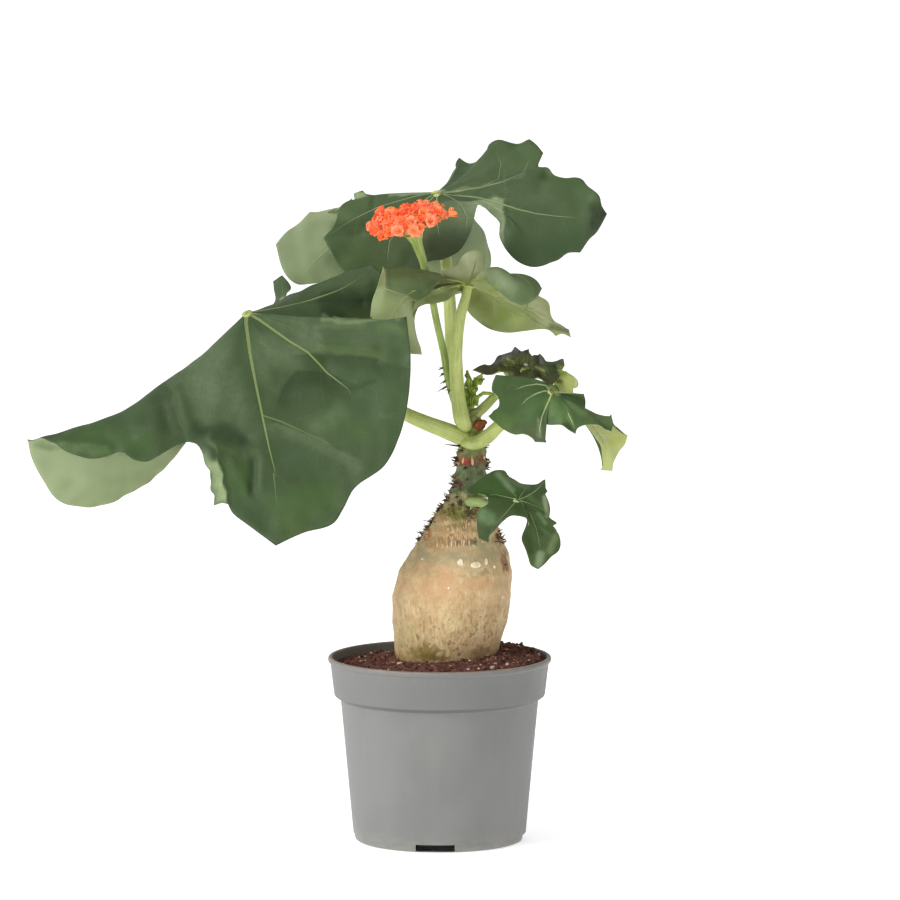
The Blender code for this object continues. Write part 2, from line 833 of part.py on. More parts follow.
def spike(name, foot, direction, length, radius, collection, sides=4):
    """A small pointed stub whose foot is sunk in what it grows from."""
    work = bmesh.new()
    bmesh.ops.create_cone(
        work,
        cap_ends=True,
        segments=sides,
        radius1=radius * MM,
        radius2=radius * 0.28 * MM,
        depth=length * MM,
    )
    bmesh.ops.translate(work, vec=(0.0, 0.0, length * MM / 2.0), verts=work.verts)
    turn = direction.to_track_quat("Z", "Y").to_matrix()
    return finish_mesh(name, work, collection, turn, foot)


def trunk_at(height):
    """The trunk's centre line and radius at a height, read straight between its stations."""
    for low, high in zip(TRUNK, TRUNK[1:]):
        if low[2] <= height <= high[2]:
            share = (height - low[2]) / (high[2] - low[2])
            across, depth, _, radius = (a + (b - a) * share for a, b in zip(low, high))
            return across, depth, radius
    return TRUNK[-1][0], TRUNK[-1][1], TRUNK[-1][3]


def is_near(points, line, room):
    """Whether any of the points comes within this room of a stalk's line."""
    for (start, thin), (end, thick) in zip(line, line[1:]):
        for point in points:
            foot, share = intersect_point_line(point, start, end)
            share = min(1.0, max(0.0, share))
            gap = (point - start.lerp(end, share)).length
            if gap < thin + (thick - thin) * share + room:
                return True
    return False


def build_trunk(collection):
    """The swollen trunk with its neck, and the stubs of old leaf scales that ring the neck."""
    body = tube("trunk", stalk_line(TRUNK, TRUNK_SPACING), TRUNK_SIDES, collection)
    dice = random.Random(7)
    stalks = [stalk_line(route) for route in (*STALKS.values(), FLOWER_STALK)]
    stubs = []
    for height, count, length in STUB_ROWS:
        for i in range(count):
            level = height + dice.uniform(-2.6, 2.6)
            turn = math.tau * (i + dice.uniform(-0.3, 0.3)) / count + height
            across, depth, radius = trunk_at(level)
            out = Vector((math.cos(turn), math.sin(turn), 0.0))
            foot = Vector((across, depth, level)) + out * (radius - 1.6)
            lean = out + Vector((0.0, 0.0, dice.uniform(0.0, 0.9)))
            reach = 1.6 + length * dice.uniform(0.7, 1.15)
            size = STUB_RADIUS * dice.uniform(0.8, 1.25)
            tip = foot + lean.normalized() * reach
            ends = (tip, foot.lerp(tip, 0.5))
            if not any(is_near(ends, line, size + 2.0 * GAP) for line in stalks):
                stubs.append(spike(f"stub {len(stubs)}", foot, lean, reach, size, collection))
    trunk = fuse("trunk", body, stubs, collection)
    trunk.data.materials.clear()
    trunk.data.materials.append(material("tan bark", TRUNK_TONE, 0.75))
    return trunk


def seen(point):
    """Where a point of a leaf's layout is in space."""
    across, height, depth = point
    return Vector((across, depth, height - depth * SIGHT_SLOPE))


def blade_lines(layout):
    """A blade's stalk end, its closed margin, and where each point of it is drawn towards."""
    centre = seen(layout["stalk_top"])
    margin = [seen(row[:3]) for row in layout["margin"]]
    drawn = []
    for row, point in zip(layout["margin"], margin):
        if len(row) > 3:
            drawn.append(seen(row[3]))
        else:
            away = point - centre
            drawn.append(
                centre
                + Vector((away.x * LEVEL_REACH, away.y * LEVEL_REACH, away.z * LEVEL_DROP))
            )
    counts = [
        max(1, round((margin[(i + 1) % len(margin)] - margin[i]).length / layout["pitch"]))
        for i in range(len(margin))
    ]
    first, second = iter(counts), iter(counts)
    rim = smooth_points(margin, lambda a, b: next(first), closed=True)
    pull = smooth_points(drawn, lambda a, b: next(second), closed=True)
    return centre, rim, pull


def blade_surface(name, layout, collection):
    """A leaf blade as an open sheet: a grid whose rows run from the stalk's end out to the margin."""
    centre, rim, pull = blade_lines(layout)
    spokes, rings = len(rim), layout["rings"]
    work = bmesh.new()
    bmesh.ops.create_grid(work, x_segments=rings, y_segments=spokes, size=0.5)
    for vertex in work.verts:
        out = vertex.co.x + 0.5
        index = round((vertex.co.y + 0.5) * spokes) % spokes
        near, far = pull[index], rim[index]
        start = (1.0 - out) ** 2
        middle = 2.0 * out * (1.0 - out)
        vertex.co = (centre * start + near * middle + far * out**2) * MM
    bmesh.ops.remove_doubles(work, verts=work.verts, dist=0.02 * MM)
    bmesh.ops.triangulate(work, faces=work.faces)
    bmesh.ops.recalc_face_normals(work, faces=work.faces)
    mesh = bpy.data.meshes.new(name)
    work.to_mesh(mesh)
    work.free()
    return place(name, mesh, collection)


def thicken(sheet, thickness, offset=0.0):
    """Gives an open sheet a wall."""
    wall = sheet.modifiers.new("wall", "SOLIDIFY")
    wall.thickness = thickness * MM
    wall.offset = offset
    return sheet


def build_blades(collection, finish_of):
    """The six leaf blades, one node each."""
    made = {}
    for name, layout in BLADES.items():
        blade = thicken(blade_surface(name, layout, collection), BLADE_THICKNESS)
        blade.data.materials.append(finish_of[name])
        made[name] = blade
    return made


def build_stalks(collection, cutters, sheets):
    """The leaf stalks, from the trunk's side to just below the underside of each blade."""
    finish = material("stalk green", STALK_TONE, 0.45)
    made = {}
    trunk_room = tube("trunk room", stalk_line(TRUNK, TRUNK_SPACING), TRUNK_SIDES, cutters, swell=GAP)
    for blade_name, stalk_name in STALK_OF_BLADE.items():
        line = stalk_line(STALKS[stalk_name])
        line = end_below(line, sheets[blade_name], BLADE_THICKNESS / 2.0 + GAP)
        stalk = tube(stalk_name, line, STALK_SIDES, collection)
        carve(stalk, trunk_room)
        made[stalk_name] = stalk
    for first, second in STALKS_THAT_MEET:
        line = stalk_line(STALKS[second])
        carve(made[first], tube(f"{second} room", line, STALK_SIDES, cutters, swell=GAP))
    for stalk in made.values():
        bake_modifiers(stalk)
        keep_largest(stalk)
        stalk.data.materials.clear()
        stalk.data.materials.append(finish)
    return made


def floret(name, seat, facing, twist, collection):
    """One small flower: five blunt petals in a shallow cup, as one thick plate with a notched rim."""
    corners = PETALS * len(PETAL_OUTLINE)
    work = bmesh.new()
    bmesh.ops.create_circle(work, cap_ends=True, cap_tris=True, segments=corners, radius=1.0)
    for vertex in work.verts:
        if vertex.co.length < 0.5:
            continue
        corner = round(math.atan2(vertex.co.y, vertex.co.x) / math.tau * corners) % corners
        petal, point = divmod(corner, len(PETAL_OUTLINE))
        share, reach = PETAL_OUTLINE[point]
        turn = math.tau * (petal + share) / PETALS
        middle = 0.5 * FLORET_DIAMETER * reach
        lift = FLORET_CUP * reach**2
        vertex.co = Vector((math.cos(turn) * middle, math.sin(turn) * middle, lift)) * MM
    skin = bmesh.ops.extrude_face_region(work, geom=list(work.faces))
    lower = [part for part in skin["geom"] if isinstance(part, bmesh.types.BMVert)]
    bmesh.ops.translate(work, vec=(0.0, 0.0, -PETAL_THICKNESS * MM), verts=lower)
    bmesh.ops.recalc_face_normals(work, faces=work.faces)
    turn = facing.to_track_quat("Z", "Y").to_matrix() @ Matrix.Rotation(twist, 3, "Z")
    return finish_mesh(name, work, collection, turn, seat)


def head_frame():
    """The flower head's own axes, as the columns of a matrix."""
    across = Vector((1.0, 0.0, 0.0))
    across = (across - HEAD_TILT * across.dot(HEAD_TILT)).normalized()
    return Matrix((across, HEAD_TILT.cross(across), HEAD_TILT)).transposed()


def floret_seats():
    """Where each floret sits on the head, and which way it faces, by a sunflower spiral."""
    frame = head_frame()
    dice = random.Random(11)
    for i in range(FLORETS):
        share = math.sqrt((i + 0.5) / FLORETS)
        turn = GOLDEN_TURN * i
        rise = HEAD_DOME * math.sqrt(1.0 - 0.97 * share**2) - dice.uniform(0.4, 0.7)
        flat = Vector((math.cos(turn), math.sin(turn), 0.0)) * HEAD_RADIUS * share
        seat = HEAD_CENTRE + frame @ (flat + Vector((0.0, 0.0, rise)))
        facing = (frame @ (flat * 0.045 + Vector((0.0, 0.0, 1.0)))).normalized()
        yield i, seat, facing, dice.uniform(0.0, math.tau)


def head_core(name, collection, swell=0.0):
    """The low cushion under the florets: a dome above, a shallower bowl below."""
    work = bmesh.new()
    bmesh.ops.create_uvsphere(work, u_segments=20, v_segments=8, radius=1.0)
    for vertex in work.verts:
        rise = HEAD_DOME if vertex.co.z > 0.0 else CORE_UNDER
        vertex.co.x *= (HEAD_RADIUS + swell) * MM
        vertex.co.y *= (HEAD_RADIUS + swell) * MM
        vertex.co.z *= (rise + swell) * MM
    return finish_mesh(name, work, collection, head_frame(), HEAD_CENTRE)


def build_flower_head(collection):
    """The coral flower head: small five-petalled florets close together on a low core."""
    core = head_core("flower core", collection)
    pieces = []
    for i, seat, facing, twist in floret_seats():
        pieces.append(floret(f"floret {i}", seat, facing, twist, collection))
    head = fuse("flower_head", core, pieces, collection)
    head.data.materials.clear()
    head.data.materials.append(material("coral petals", (0.82, 0.13, 0.045), 0.55))
    return head


def build_flower_stalk(collection, cutters):
    """The flower stalk with its scale spikes and the short rays that carry the head."""
    body = tube("flower stalk body", stalk_line(FLOWER_STALK), STALK_SIDES, collection)
    frame = head_frame()
    extras = []
    for height, turn, length in FLOWER_STALK_SPIKES:
        for low, high in zip(FLOWER_STALK, FLOWER_STALK[1:]):
            if low[2] <= height <= high[2]:
                share = (height - low[2]) / (high[2] - low[2])
                seat = Vector(low[:3]).lerp(Vector(high[:3]), share)
        angle = math.radians(turn)
        out = Vector((math.cos(angle), math.sin(angle), 0.25))
        extras.append(spike(f"scale {height:.0f}", seat, out, length, 1.2, collection))
    joint = Vector(FLOWER_STALK[-1][:3]) - HEAD_TILT * 3.0
    for i in range(HEAD_RAYS):
        turn = math.tau * i / HEAD_RAYS
        flat = Vector((math.cos(turn), math.sin(turn), 0.0)) * HEAD_RADIUS * 0.6
        aim = HEAD_CENTRE + frame @ flat
        ray = spike(f"ray {i}", joint, aim - joint, (aim - joint).length, 1.8, collection, sides=6)
        extras.append(ray)
    stalk = fuse("flower_stalk", body, extras, collection)
    carve(stalk, head_core("flower core room", cutters, 2.0 * GAP))
    carve(stalk, tube("trunk room 2", stalk_line(TRUNK, TRUNK_SPACING), TRUNK_SIDES, cutters, swell=GAP))
    for name in ("stalk_big", "stalk_middle", "stalk_top"):
        line = stalk_line(STALKS[name])
        carve(stalk, tube(f"{name} room 2", line, STALK_SIDES, cutters, swell=GAP))
    bake_modifiers(stalk)
    keep_largest(stalk)
    stalk.data.materials.clear()
    stalk.data.materials.append(material("flower stalk green", (0.25, 0.40, 0.05), 0.5))
    return stalk


def build_shoot(collection):
    """The young shoot at the stem's tip: a few small folded blades on one foot."""
    work = bmesh.new()
    bmesh.ops.create_uvsphere(work, u_segments=8, v_segments=6, radius=SHOOT_FOOT_RADIUS * MM)
    body = finish_mesh("shoot foot", work, collection, seat=SHOOT_FOOT)
    blades = []
    for turn, lean, length in SHOOT_BLADES:
        work = bmesh.new()
        bmesh.ops.create_uvsphere(work, u_segments=8, v_segments=5, radius=0.5)
        size = (SHOOT_BLADE_WIDTH, SHOOT_BLADE_THICKNESS, length)
        bmesh.ops.scale(work, vec=[s * MM for s in size], verts=work.verts)
        bmesh.ops.translate(work, vec=(0.0, 0.0, length * 0.46 * MM), verts=work.verts)
        tip = Matrix.Rotation(math.radians(lean), 3, "X")
        spin = Matrix.Rotation(math.radians(turn + 90.0), 3, "Z")
        name = f"shoot blade {len(blades) + 1}"
        blades.append(finish_mesh(name, work, collection, spin @ tip, SHOOT_FOOT))
    shoot = fuse("shoot", body, blades, collection)
    shoot.data.materials.clear()
    shoot.data.materials.append(material("shoot green", SHOOT_TONE, 0.5))
    return shoot


def build():
    """Builds the whole plant."""
    clear_scene()
    plant = new_collection("potted jatropha")
    cutters = new_collection("cutters", hidden=True)
    build_pot(plant, cutters)
    build_soil(plant, cutters)
    build_trunk(plant)
    finishes = {name: material(f"{name} green", tone, 0.4) for name, tone in BLADE_TONES.items()}
    blades = build_blades(plant, finishes)
    build_stalks(plant, cutters, blades)
    build_flower_head(plant)
    build_flower_stalk(plant, cutters)
    build_shoot(plant)


build()
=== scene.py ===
"""The looks of a potted jatropha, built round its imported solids.

The sections follow the plant as it is put together: pot, soil, trunk, leaf stalks, leaf blades, flower stalk,
flower head and young shoot, and then the studio. Sizes are in millimetres until a vertex is placed, and colours
are written as a painter's hex values.
"""

import math
import random

import bmesh
import bpy
import numpy as np
from mathutils import Matrix, Vector, noise
from mathutils.geometry import interpolate_bezier


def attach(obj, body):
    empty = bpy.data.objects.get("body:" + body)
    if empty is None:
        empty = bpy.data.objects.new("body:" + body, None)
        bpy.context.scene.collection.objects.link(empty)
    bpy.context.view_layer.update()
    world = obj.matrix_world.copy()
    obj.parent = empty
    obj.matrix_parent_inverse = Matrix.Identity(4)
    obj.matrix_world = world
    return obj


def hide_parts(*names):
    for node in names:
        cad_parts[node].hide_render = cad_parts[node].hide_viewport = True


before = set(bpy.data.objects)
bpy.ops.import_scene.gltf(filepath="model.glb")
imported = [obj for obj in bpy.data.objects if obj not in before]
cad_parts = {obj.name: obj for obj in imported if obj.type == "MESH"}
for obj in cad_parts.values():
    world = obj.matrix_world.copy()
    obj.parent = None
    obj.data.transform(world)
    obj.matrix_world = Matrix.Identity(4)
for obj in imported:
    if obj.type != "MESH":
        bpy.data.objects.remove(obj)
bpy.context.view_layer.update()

MM = 0.001


# Camera. The plant was looked at from about six metres in front, a little from above, through a long lens.


def put(name, data):
    """A new object in the picture, made of a lamp's or camera's data or of a bmesh, which is used up."""
    if isinstance(data, bmesh.types.BMesh):
        work, data = data, bpy.data.meshes.new(name)
        work.to_mesh(data)
        work.free()
    made = bpy.data.objects.new(name, data)
    bpy.context.scene.collection.objects.link(made)
    return made


eye = Vector((0.0056, -5.947, 1.005))
aim = Vector((0.0056, 0.0, 0.2118))
lens = bpy.data.cameras.new("camera")
lens.lens = 447.0
lens.sensor_width = 36.0
lens.clip_end = 30.0
camera = put("camera", lens)
camera.location = eye
camera.rotation_euler = (aim - eye).to_track_quat("-Z", "Y").to_euler()
bpy.context.scene.camera = camera


# Pot. A 12 cm nursery pot, blow-thin grey polypropylene moulded in one piece: a tapered wall under a deep
# collar with a rolled lip, and four drain slots cut across the corner of the foot. It is matt, a little dusty
# and scuffed.

POT_STEPS = 160
POT_PROFILE = (
    # radius, height, and how far the corner is rounded
    (0, 1.6, 0), (43.3, 1.6, 0), (45.2, 3.5, 1.2), (51.8, 76.5, 0.6), (55.4, 80.2, 0.6), (57.6, 96.8, 0),
    (57.9, 100, 0.35), (59.5, 100, 0.5), (60, 99.3, 0.3), (60, 97.6, 0.4), (58.8, 96.8, 0.4), (56.7, 79.2, 0.6),
    (53.2, 76.7, 0.5), (46.4, 3.2, 0), (45.46, 0.94, 0.9), (43.2, 0, 0.8), (0, 0, 0),
)
SLOT_SIZE = (21.0, 28.0, 9.0)
SLOT_TURN = -3.0
SLOT_REACH = 46.4
SOIL_SMUDGES = (
    # centre, reach and strength of each
    ((-0.005, -0.05, 0.056), 0.01, 0.13), ((-0.03, -0.045, 0.012), 0.008, 0.22),
)


def paint(tone):
    """A hex tone as a painter writes it, as the shader's linear colour."""
    parts = [int(tone[i : i + 2], 16) / 255.0 for i in (1, 3, 5)]
    return (*[p / 12.92 if p <= 0.04045 else ((p + 0.055) / 1.055) ** 2.4 for p in parts], 1.0)


class Nodes:
    """A shader tree, with a short call for each kind of node that the finishes need."""

    def __init__(self, tree):
        self.tree = tree

    def add(self, kind, feeds=None, **settings):
        """One shader node with its settings, each socket fed by a value or by another node's output."""
        made = self.tree.nodes.new(f"ShaderNode{kind}")
        for name, value in settings.items():
            setattr(made, name, value)
        for socket, value in (feeds or {}).items():
            if isinstance(value, bpy.types.NodeSocket):
                self.tree.links.new(value, made.inputs[socket])
            else:
                made.inputs[socket].default_value = value
        return made

    def maths(self, operation, first, second=0.0, third=0.0):
        """The result of one sum on values or outputs."""
        return self.add("Math", {0: first, 1: second, 2: third}, operation=operation).outputs[0]

    def times(self, first, second):
        return self.maths("MULTIPLY", first, second)

    def split(self, vector):
        return self.add("SeparateXYZ", {0: vector}).outputs

    def length(self, vector):
        return self.add("VectorMath", {0: vector}, operation="LENGTH").outputs["Value"]

    def ramped(self, value, low, high, start=0.0, end=1.0):
        """A value spread smoothly from start to end as it goes from low to high."""
        feeds = {0: value, 1: low, 2: high, 3: start, 4: end}
        return self.add("MapRange", feeds, interpolation_type="SMOOTHSTEP").outputs[0]


class Finish(Nodes):
    """A Principled finish in the making, on the object's own coordinates. Tones and bumps are laid on in turn."""

    def __init__(self, name, roughness, gloss=0.5):
        self.made = bpy.data.materials.new(name)
        self.made.use_nodes = True
        super().__init__(self.made.node_tree)
        self.shader = self.tree.nodes["Principled BSDF"]
        self.shader.inputs["Roughness"].default_value = roughness
        self.shader.inputs["Specular IOR Level"].default_value = gloss
        self.place = self.add("TexCoord").outputs["Object"]
        self.tone = self.normal = None

    def grain(self, size, start=0.0, end=1.0, detail=3.0, rough=0.5):
        """Soft noise with grains of about this size in millimetres, one or (x, y, z), between two levels."""
        sizes = size if isinstance(size, tuple) else (size, size, size)
        scale = tuple(1.0 / (s * MM) for s in sizes)
        spread = self.add("Mapping", {"Vector": self.place, "Scale": scale}).outputs[0]
        feeds = {"Vector": spread, "Scale": 1.0, "Detail": detail, "Roughness": rough}
        cloud = self.add("TexNoise", feeds).outputs[0]
        return self.ramped(cloud, 0.32, 0.68, start, end)

    def mix(self, share, under, over):
        """One tone over another by a share; a tone is a hex value or an output."""
        under, over = [paint(tone) if isinstance(tone, str) else tone for tone in (under, over)]
        return self.add("Mix", {0: share, 6: under, 7: over}, data_type="RGBA").outputs[2]

    def lay(self, share, over, by=None):
        """Lays a tone over the finish by a share, which a second share makes weaker."""
        self.tone = self.mix(share if by is None else self.times(share, by), self.tone, over)

    def bump(self, height, depth):
        """Lays a bump of this depth in millimetres on top of those before it."""
        feeds = {"Height": height, "Distance": depth * MM, "Strength": 1.0}
        if self.normal is not None:
            feeds["Normal"] = self.normal
        self.normal = self.add("Bump", feeds).outputs[0]

    def done(self, rough=None):
        """The material, its shader fed with the tone, the bumps and a roughness where that varies."""
        for socket, value in (("Base Color", self.tone), ("Normal", self.normal), ("Roughness", rough)):
            if value is not None:
                self.tree.links.new(value, self.shader.inputs[socket])
        return self.made


def place_piece(name, work, finish, replaced=None, smooth=True):
    """Makes a bmesh a piece of the plant, in one finish or a list of them, and hides the node that it replaces."""
    piece = put(name, work)
    piece.data.polygons.foreach_set("use_smooth", [smooth] * len(piece.data.polygons))
    for material in finish if isinstance(finish, list) else [finish]:
        piece.data.materials.append(material)
    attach(piece, "root")
    if replaced:
        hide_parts(replaced)
    return piece


def bake_modifiers(piece):
    """Makes a piece's modifiers part of its mesh."""
    graph = bpy.context.evaluated_depsgraph_get()
    mesh = bpy.data.meshes.new_from_object(piece.evaluated_get(graph))
    piece.modifiers.clear()
    piece.data = mesh


def pot_finish():
    """Matt grey polypropylene with mould grain, faint upright flow marks, dust at the foot and a soil smudge,
    and painted shade on the inner wall and in a line under the collar.
    """
    coat = Finish("grey polypropylene", 0.5, 0.42)
    height = coat.split(coat.place)[2]
    clouds = coat.grain((26, 26, 40), detail=2)
    coat.tone = coat.mix(clouds, "#7c7d7a", "#838381")
    coat.lay(coat.grain((3.5, 3.5, 60), detail=2), "#8f8f8d", 0.06)
    coat.lay(coat.grain(0.5, detail=1), "#646866", 0.1)
    dust = coat.ramped(height, 0.012, 0.0, 0.0, 0.32)
    coat.lay(dust, "#a59c8c", coat.grain((7, 7, 3)))
    for centre, reach, strength in SOIL_SMUDGES:
        away = coat.add("VectorMath", {0: coat.place, 1: centre}, operation="DISTANCE").outputs["Value"]
        smudge = coat.ramped(away, reach, reach * 0.2, 0.0, strength)
        coat.lay(smudge, "#a08a68", coat.grain((1.6, 1.6, 2.4)))
    # Painted shade: the inner wall above the soil is darkened.
    flat = coat.add("VectorMath", {0: coat.place, 1: (1.0, 1.0, 0.0)}, operation="MULTIPLY").outputs[0]
    cone = coat.maths("MULTIPLY_ADD", height, -0.126, coat.length(flat))
    inner_wall_shade = coat.ramped(cone, 0.0462, 0.0457)
    coat.lay(inner_wall_shade, "#6f6c67", coat.ramped(height, 0.084, 0.086, 0.0, 0.75))
    collar = coat.ramped(height, 0.0765, 0.0785, 0.0, 0.5)
    coat.lay(collar, "#71716f")
    # Painted shade: a dark line just under the collar's overhang.
    painted_ledge_shade = coat.ramped(height, 0.0768, 0.0775)
    coat.lay(painted_ledge_shade, "#565755", coat.ramped(height, 0.0796, 0.0788, 0.0, 0.6))
    lip = coat.ramped(height, 0.0984, 0.0997, 0.0, 0.7)
    coat.lay(lip, "#a38d7e", coat.grain(6, 0.3, 1.0))
    scuffs = coat.times(coat.grain((0.7, 0.7, 14), detail=4), coat.ramped(height, 0.088, 0.1, 0.02, 0.4))
    coat.lay(scuffs, "#acadab", 0.25)
    coat.bump(coat.grain(0.35, detail=2), 0.02)
    coat.bump(coat.grain((22, 22, 30), detail=1), 0.3)
    return coat.done(coat.ramped(clouds, 0.0, 1.0, 0.46, 0.56))


def weld(work, reach, corners=None):
    """Joins the vertices that lie closer together than this."""
    bmesh.ops.remove_doubles(work, verts=corners or work.verts, dist=reach * MM)


def seal(work, reach=0.004):
    """Closes the seams and poles of a shape and turns its faces outwards."""
    weld(work, reach)
    bmesh.ops.recalc_face_normals(work, faces=work.faces)


work = bmesh.new()
knots = [work.verts.new((radius * MM, 0.0, height * MM)) for radius, height, _ in POT_PROFILE]
for here, there in zip(knots, knots[1:]):
    work.edges.new((here, there))
for knot, (_, _, round_off) in list(zip(knots, POT_PROFILE)):
    if round_off:
        rounding = {"offset": round_off * MM, "offset_type": "OFFSET", "segments": 4, "profile": 0.5}
        bmesh.ops.bevel(work, geom=[knot], affect="VERTICES", material=-1, **rounding)
turned = {"cent": (0.0, 0.0, 0.0), "axis": (0.0, 0.0, 1.0), "angle": math.tau, "steps": POT_STEPS}
bmesh.ops.spin(work, geom=work.verts[:] + work.edges[:], use_merge=True, **turned)
seal(work, 0.005)
pot = place_piece("nursery_pot", work, pot_finish(), "pot")

work = bmesh.new()
for turn in range(4):
    corners = bmesh.ops.create_cube(work, size=1.0)["verts"]
    bmesh.ops.scale(work, vec=[s * MM for s in SLOT_SIZE], verts=corners)
    bmesh.ops.translate(work, vec=(0.0, -SLOT_REACH * MM, 0.0), verts=corners)
    swing = Matrix.Rotation(math.tau * turn / 4 + math.radians(SLOT_TURN), 3, "Z")
    bmesh.ops.rotate(work, cent=(0.0, 0.0, 0.0), matrix=swing, verts=corners)
slot_cutter = put("slot cutter", work)
cut = pot.modifiers.new("drain slots", "BOOLEAN")
cut.object = slot_cutter
cut.solver = "EXACT"
bake_modifiers(pot)
bpy.data.objects.remove(slot_cutter)
pot.data.shade_smooth()
pot.data.set_sharp_from_angle(angle=math.radians(40.0))


# Soil. Peat and coir potting soil, dark red-brown and crumbly, pressed in to just under the lip and higher
# round the trunk. Crumbs and fibres lie loose on it, with chips of tan bark and pinkish-white perlite.

SOIL_SPOKES = 300
SOIL_RADIUS = 57.0
TRUNK_FOOT, FOOT_REACH = 3.6, 28.0
STREWN = (29.0, 56.0)
SOIL_SIDE = ((SOIL_RADIUS, 95.4), (54.8, 80.0), (51.2, 76.4), (44.9, 3.9), (40.0, 1.9), (0.0, 1.9))
SOIL_TOP_RINGS = 84
SOIL_EDGE = 95.5


def mapped_grid(work, columns, rows, place_at, layout=None):
    """A grid whose vertex at (column, row) is put where place_at says; layout names a UV map of the flat grid."""
    corners = bmesh.ops.create_grid(work, x_segments=columns, y_segments=rows, size=0.5)["verts"]
    if layout:
        layer = work.loops.layers.uv.new(layout)
        for loop in [loop for face in work.faces for loop in face.loops]:
            loop[layer].uv = (loop.vert.co.x + 0.5, loop.vert.co.y + 0.5)
    for corner in corners:
        column = round((corner.co.x + 0.5) * columns)
        row = round((corner.co.y + 0.5) * rows)
        corner.co = Vector(place_at(column, row)) * MM
    return corners


def soil_height(x, y):
    """The soil's surface: a mound round the trunk, higher at the back right, with crumbs of several sizes."""
    mound = 9.0 * math.exp(-((math.hypot(x - 5.0, y) / 38.0) ** 2)) + 2.4 * x / 50.0
    mound += 0.6 * math.sin(x * 0.71 + y * 0.33) * math.cos(y * 0.83 - x * 0.29)
    heap = 2.0 * math.exp(-(((x - 46.0) / 20.0) ** 2) - ((y - 32.0) / 20.0) ** 2)
    spot = Vector((x, y, 0.0))
    lumps = noise.noise(spot * 0.22) * 1.5 + noise.noise(spot * 0.6) * 0.9 + noise.noise(spot * 1.7) * 0.35
    edge = min(1.0, max(0.0, (SOIL_RADIUS - math.hypot(x, y)) / 5.0))
    return SOIL_EDGE + heap + mound * (0.35 + 0.65 * edge) + lumps * (0.3 + 0.7 * edge)


def soil_place(column, row):
    turn = math.tau * (row % SOIL_SPOKES) / SOIL_SPOKES
    if column < SOIL_TOP_RINGS:
        radius = SOIL_RADIUS * column / SOIL_TOP_RINGS
        x, y = radius * math.cos(turn), radius * math.sin(turn)
        return x, y, soil_height(x, y)
    radius, height = SOIL_SIDE[column - SOIL_TOP_RINGS]
    return radius * math.cos(turn), radius * math.sin(turn), height


def peat_finish():
    """Damp peat: dark between the crumbs, redder and lighter on them, with painted shade at its foot where the
    drain slots look in.
    """
    coat = Finish("damp peat", 0.85, 0.3)
    coat.tone = coat.mix(coat.grain(1.8, detail=5, rough=0.7), "#50312a", "#a06d5e")
    coat.lay(coat.grain(9, detail=2), "#42251c", 0.35)
    # Painted shade: the lowest part of the soil, seen through the drain slots, is made near black.
    coat.lay(coat.ramped(coat.split(coat.place)[2], 0.03, 0.015), "#191713")
    coat.bump(coat.grain(0.5, detail=4, rough=0.7), 0.35)
    return coat.done()


work = bmesh.new()
mapped_grid(work, SOIL_TOP_RINGS + len(SOIL_SIDE) - 1, SOIL_SPOKES, soil_place)
seal(work)
peat = peat_finish()
place_piece("potting_soil", work, peat, "soil")


def scatter(name, count, size, flat, finish, dice, spots=()):
    """Loose lumps strewn on the soil between the trunk and the pot's wall, some at given spots."""
    work = bmesh.new()
    for i in range(count):
        if i < len(spots):
            x, y, radius = spots[i]
        else:
            turn = dice.uniform(0.0, math.tau)
            reach = math.sqrt(dice.uniform(*[edge**2 for edge in STREWN]))
            x, y = reach * math.cos(turn), reach * math.sin(turn)
            if math.hypot(x - TRUNK_FOOT, y) < FOOT_REACH:
                continue
            radius = size * dice.uniform(0.45, 1.0) ** 1.5
        corners = bmesh.ops.create_icosphere(work, subdivisions=1, radius=1.0)["verts"]
        shape = Vector([radius * dice.uniform(0.65, 1.3), radius * dice.uniform(0.5, 1.0), radius * flat])
        swing = Matrix.Rotation(dice.uniform(0.0, math.tau), 3, "Z")
        swing @= Matrix.Rotation(dice.uniform(-0.5, 0.5), 3, "X")
        seat = Vector((x, y, soil_height(x, y) + radius * flat * 0.35))
        for corner in corners:
            rough = corner.co * dice.uniform(0.75, 1.2)
            corner.co = (seat + swing @ Vector([a * b for a, b in zip(rough, shape)])) * MM
    place_piece(name, work, finish, smooth=False)


def chip_finish(name, dark, light):
    """Dry mineral or wood chips, stained by the peat they lie in."""
    coat = Finish(name, 0.75, 0.35)
    coat.tone = coat.mix(coat.grain(1.4, detail=4, rough=0.6), dark, light)
    coat.bump(coat.grain(0.3), 0.1)
    return coat.done()


PERLITE_SPOTS = (
    # where the largest chips show: across, depth, radius
    (-22, -46, 1.9), (-14, -50, 1.1), (13, -47, 1.3), (28, -40, 1.7), (9, -52, 1.2), (36, -33, 1.5), (-8, -53, 1),
    (21, -44, 1.2),
)
crumb_dice = random.Random(3)
scatter("soil_crumbs", 1500, 1.5, 0.7, peat, crumb_dice)
bark_chips = chip_finish("tan bark chips", "#7a4a33", "#c29670")
scatter("bark_chips", 130, 1.7, 0.35, bark_chips, crumb_dice)
perlite = chip_finish("stained perlite", "#b98c7c", "#f2dcd0")
scatter("perlite_chips", 150, 1.2, 0.7, perlite, crumb_dice, PERLITE_SPOTS)


# Trunk. The swollen, water-storing foot of the plant: thin tan cork over green flesh, corky and pitted below,
# smooth and grey-green on the shoulder, and ringed on the neck by old leaf scars and their dry, spiky scales.

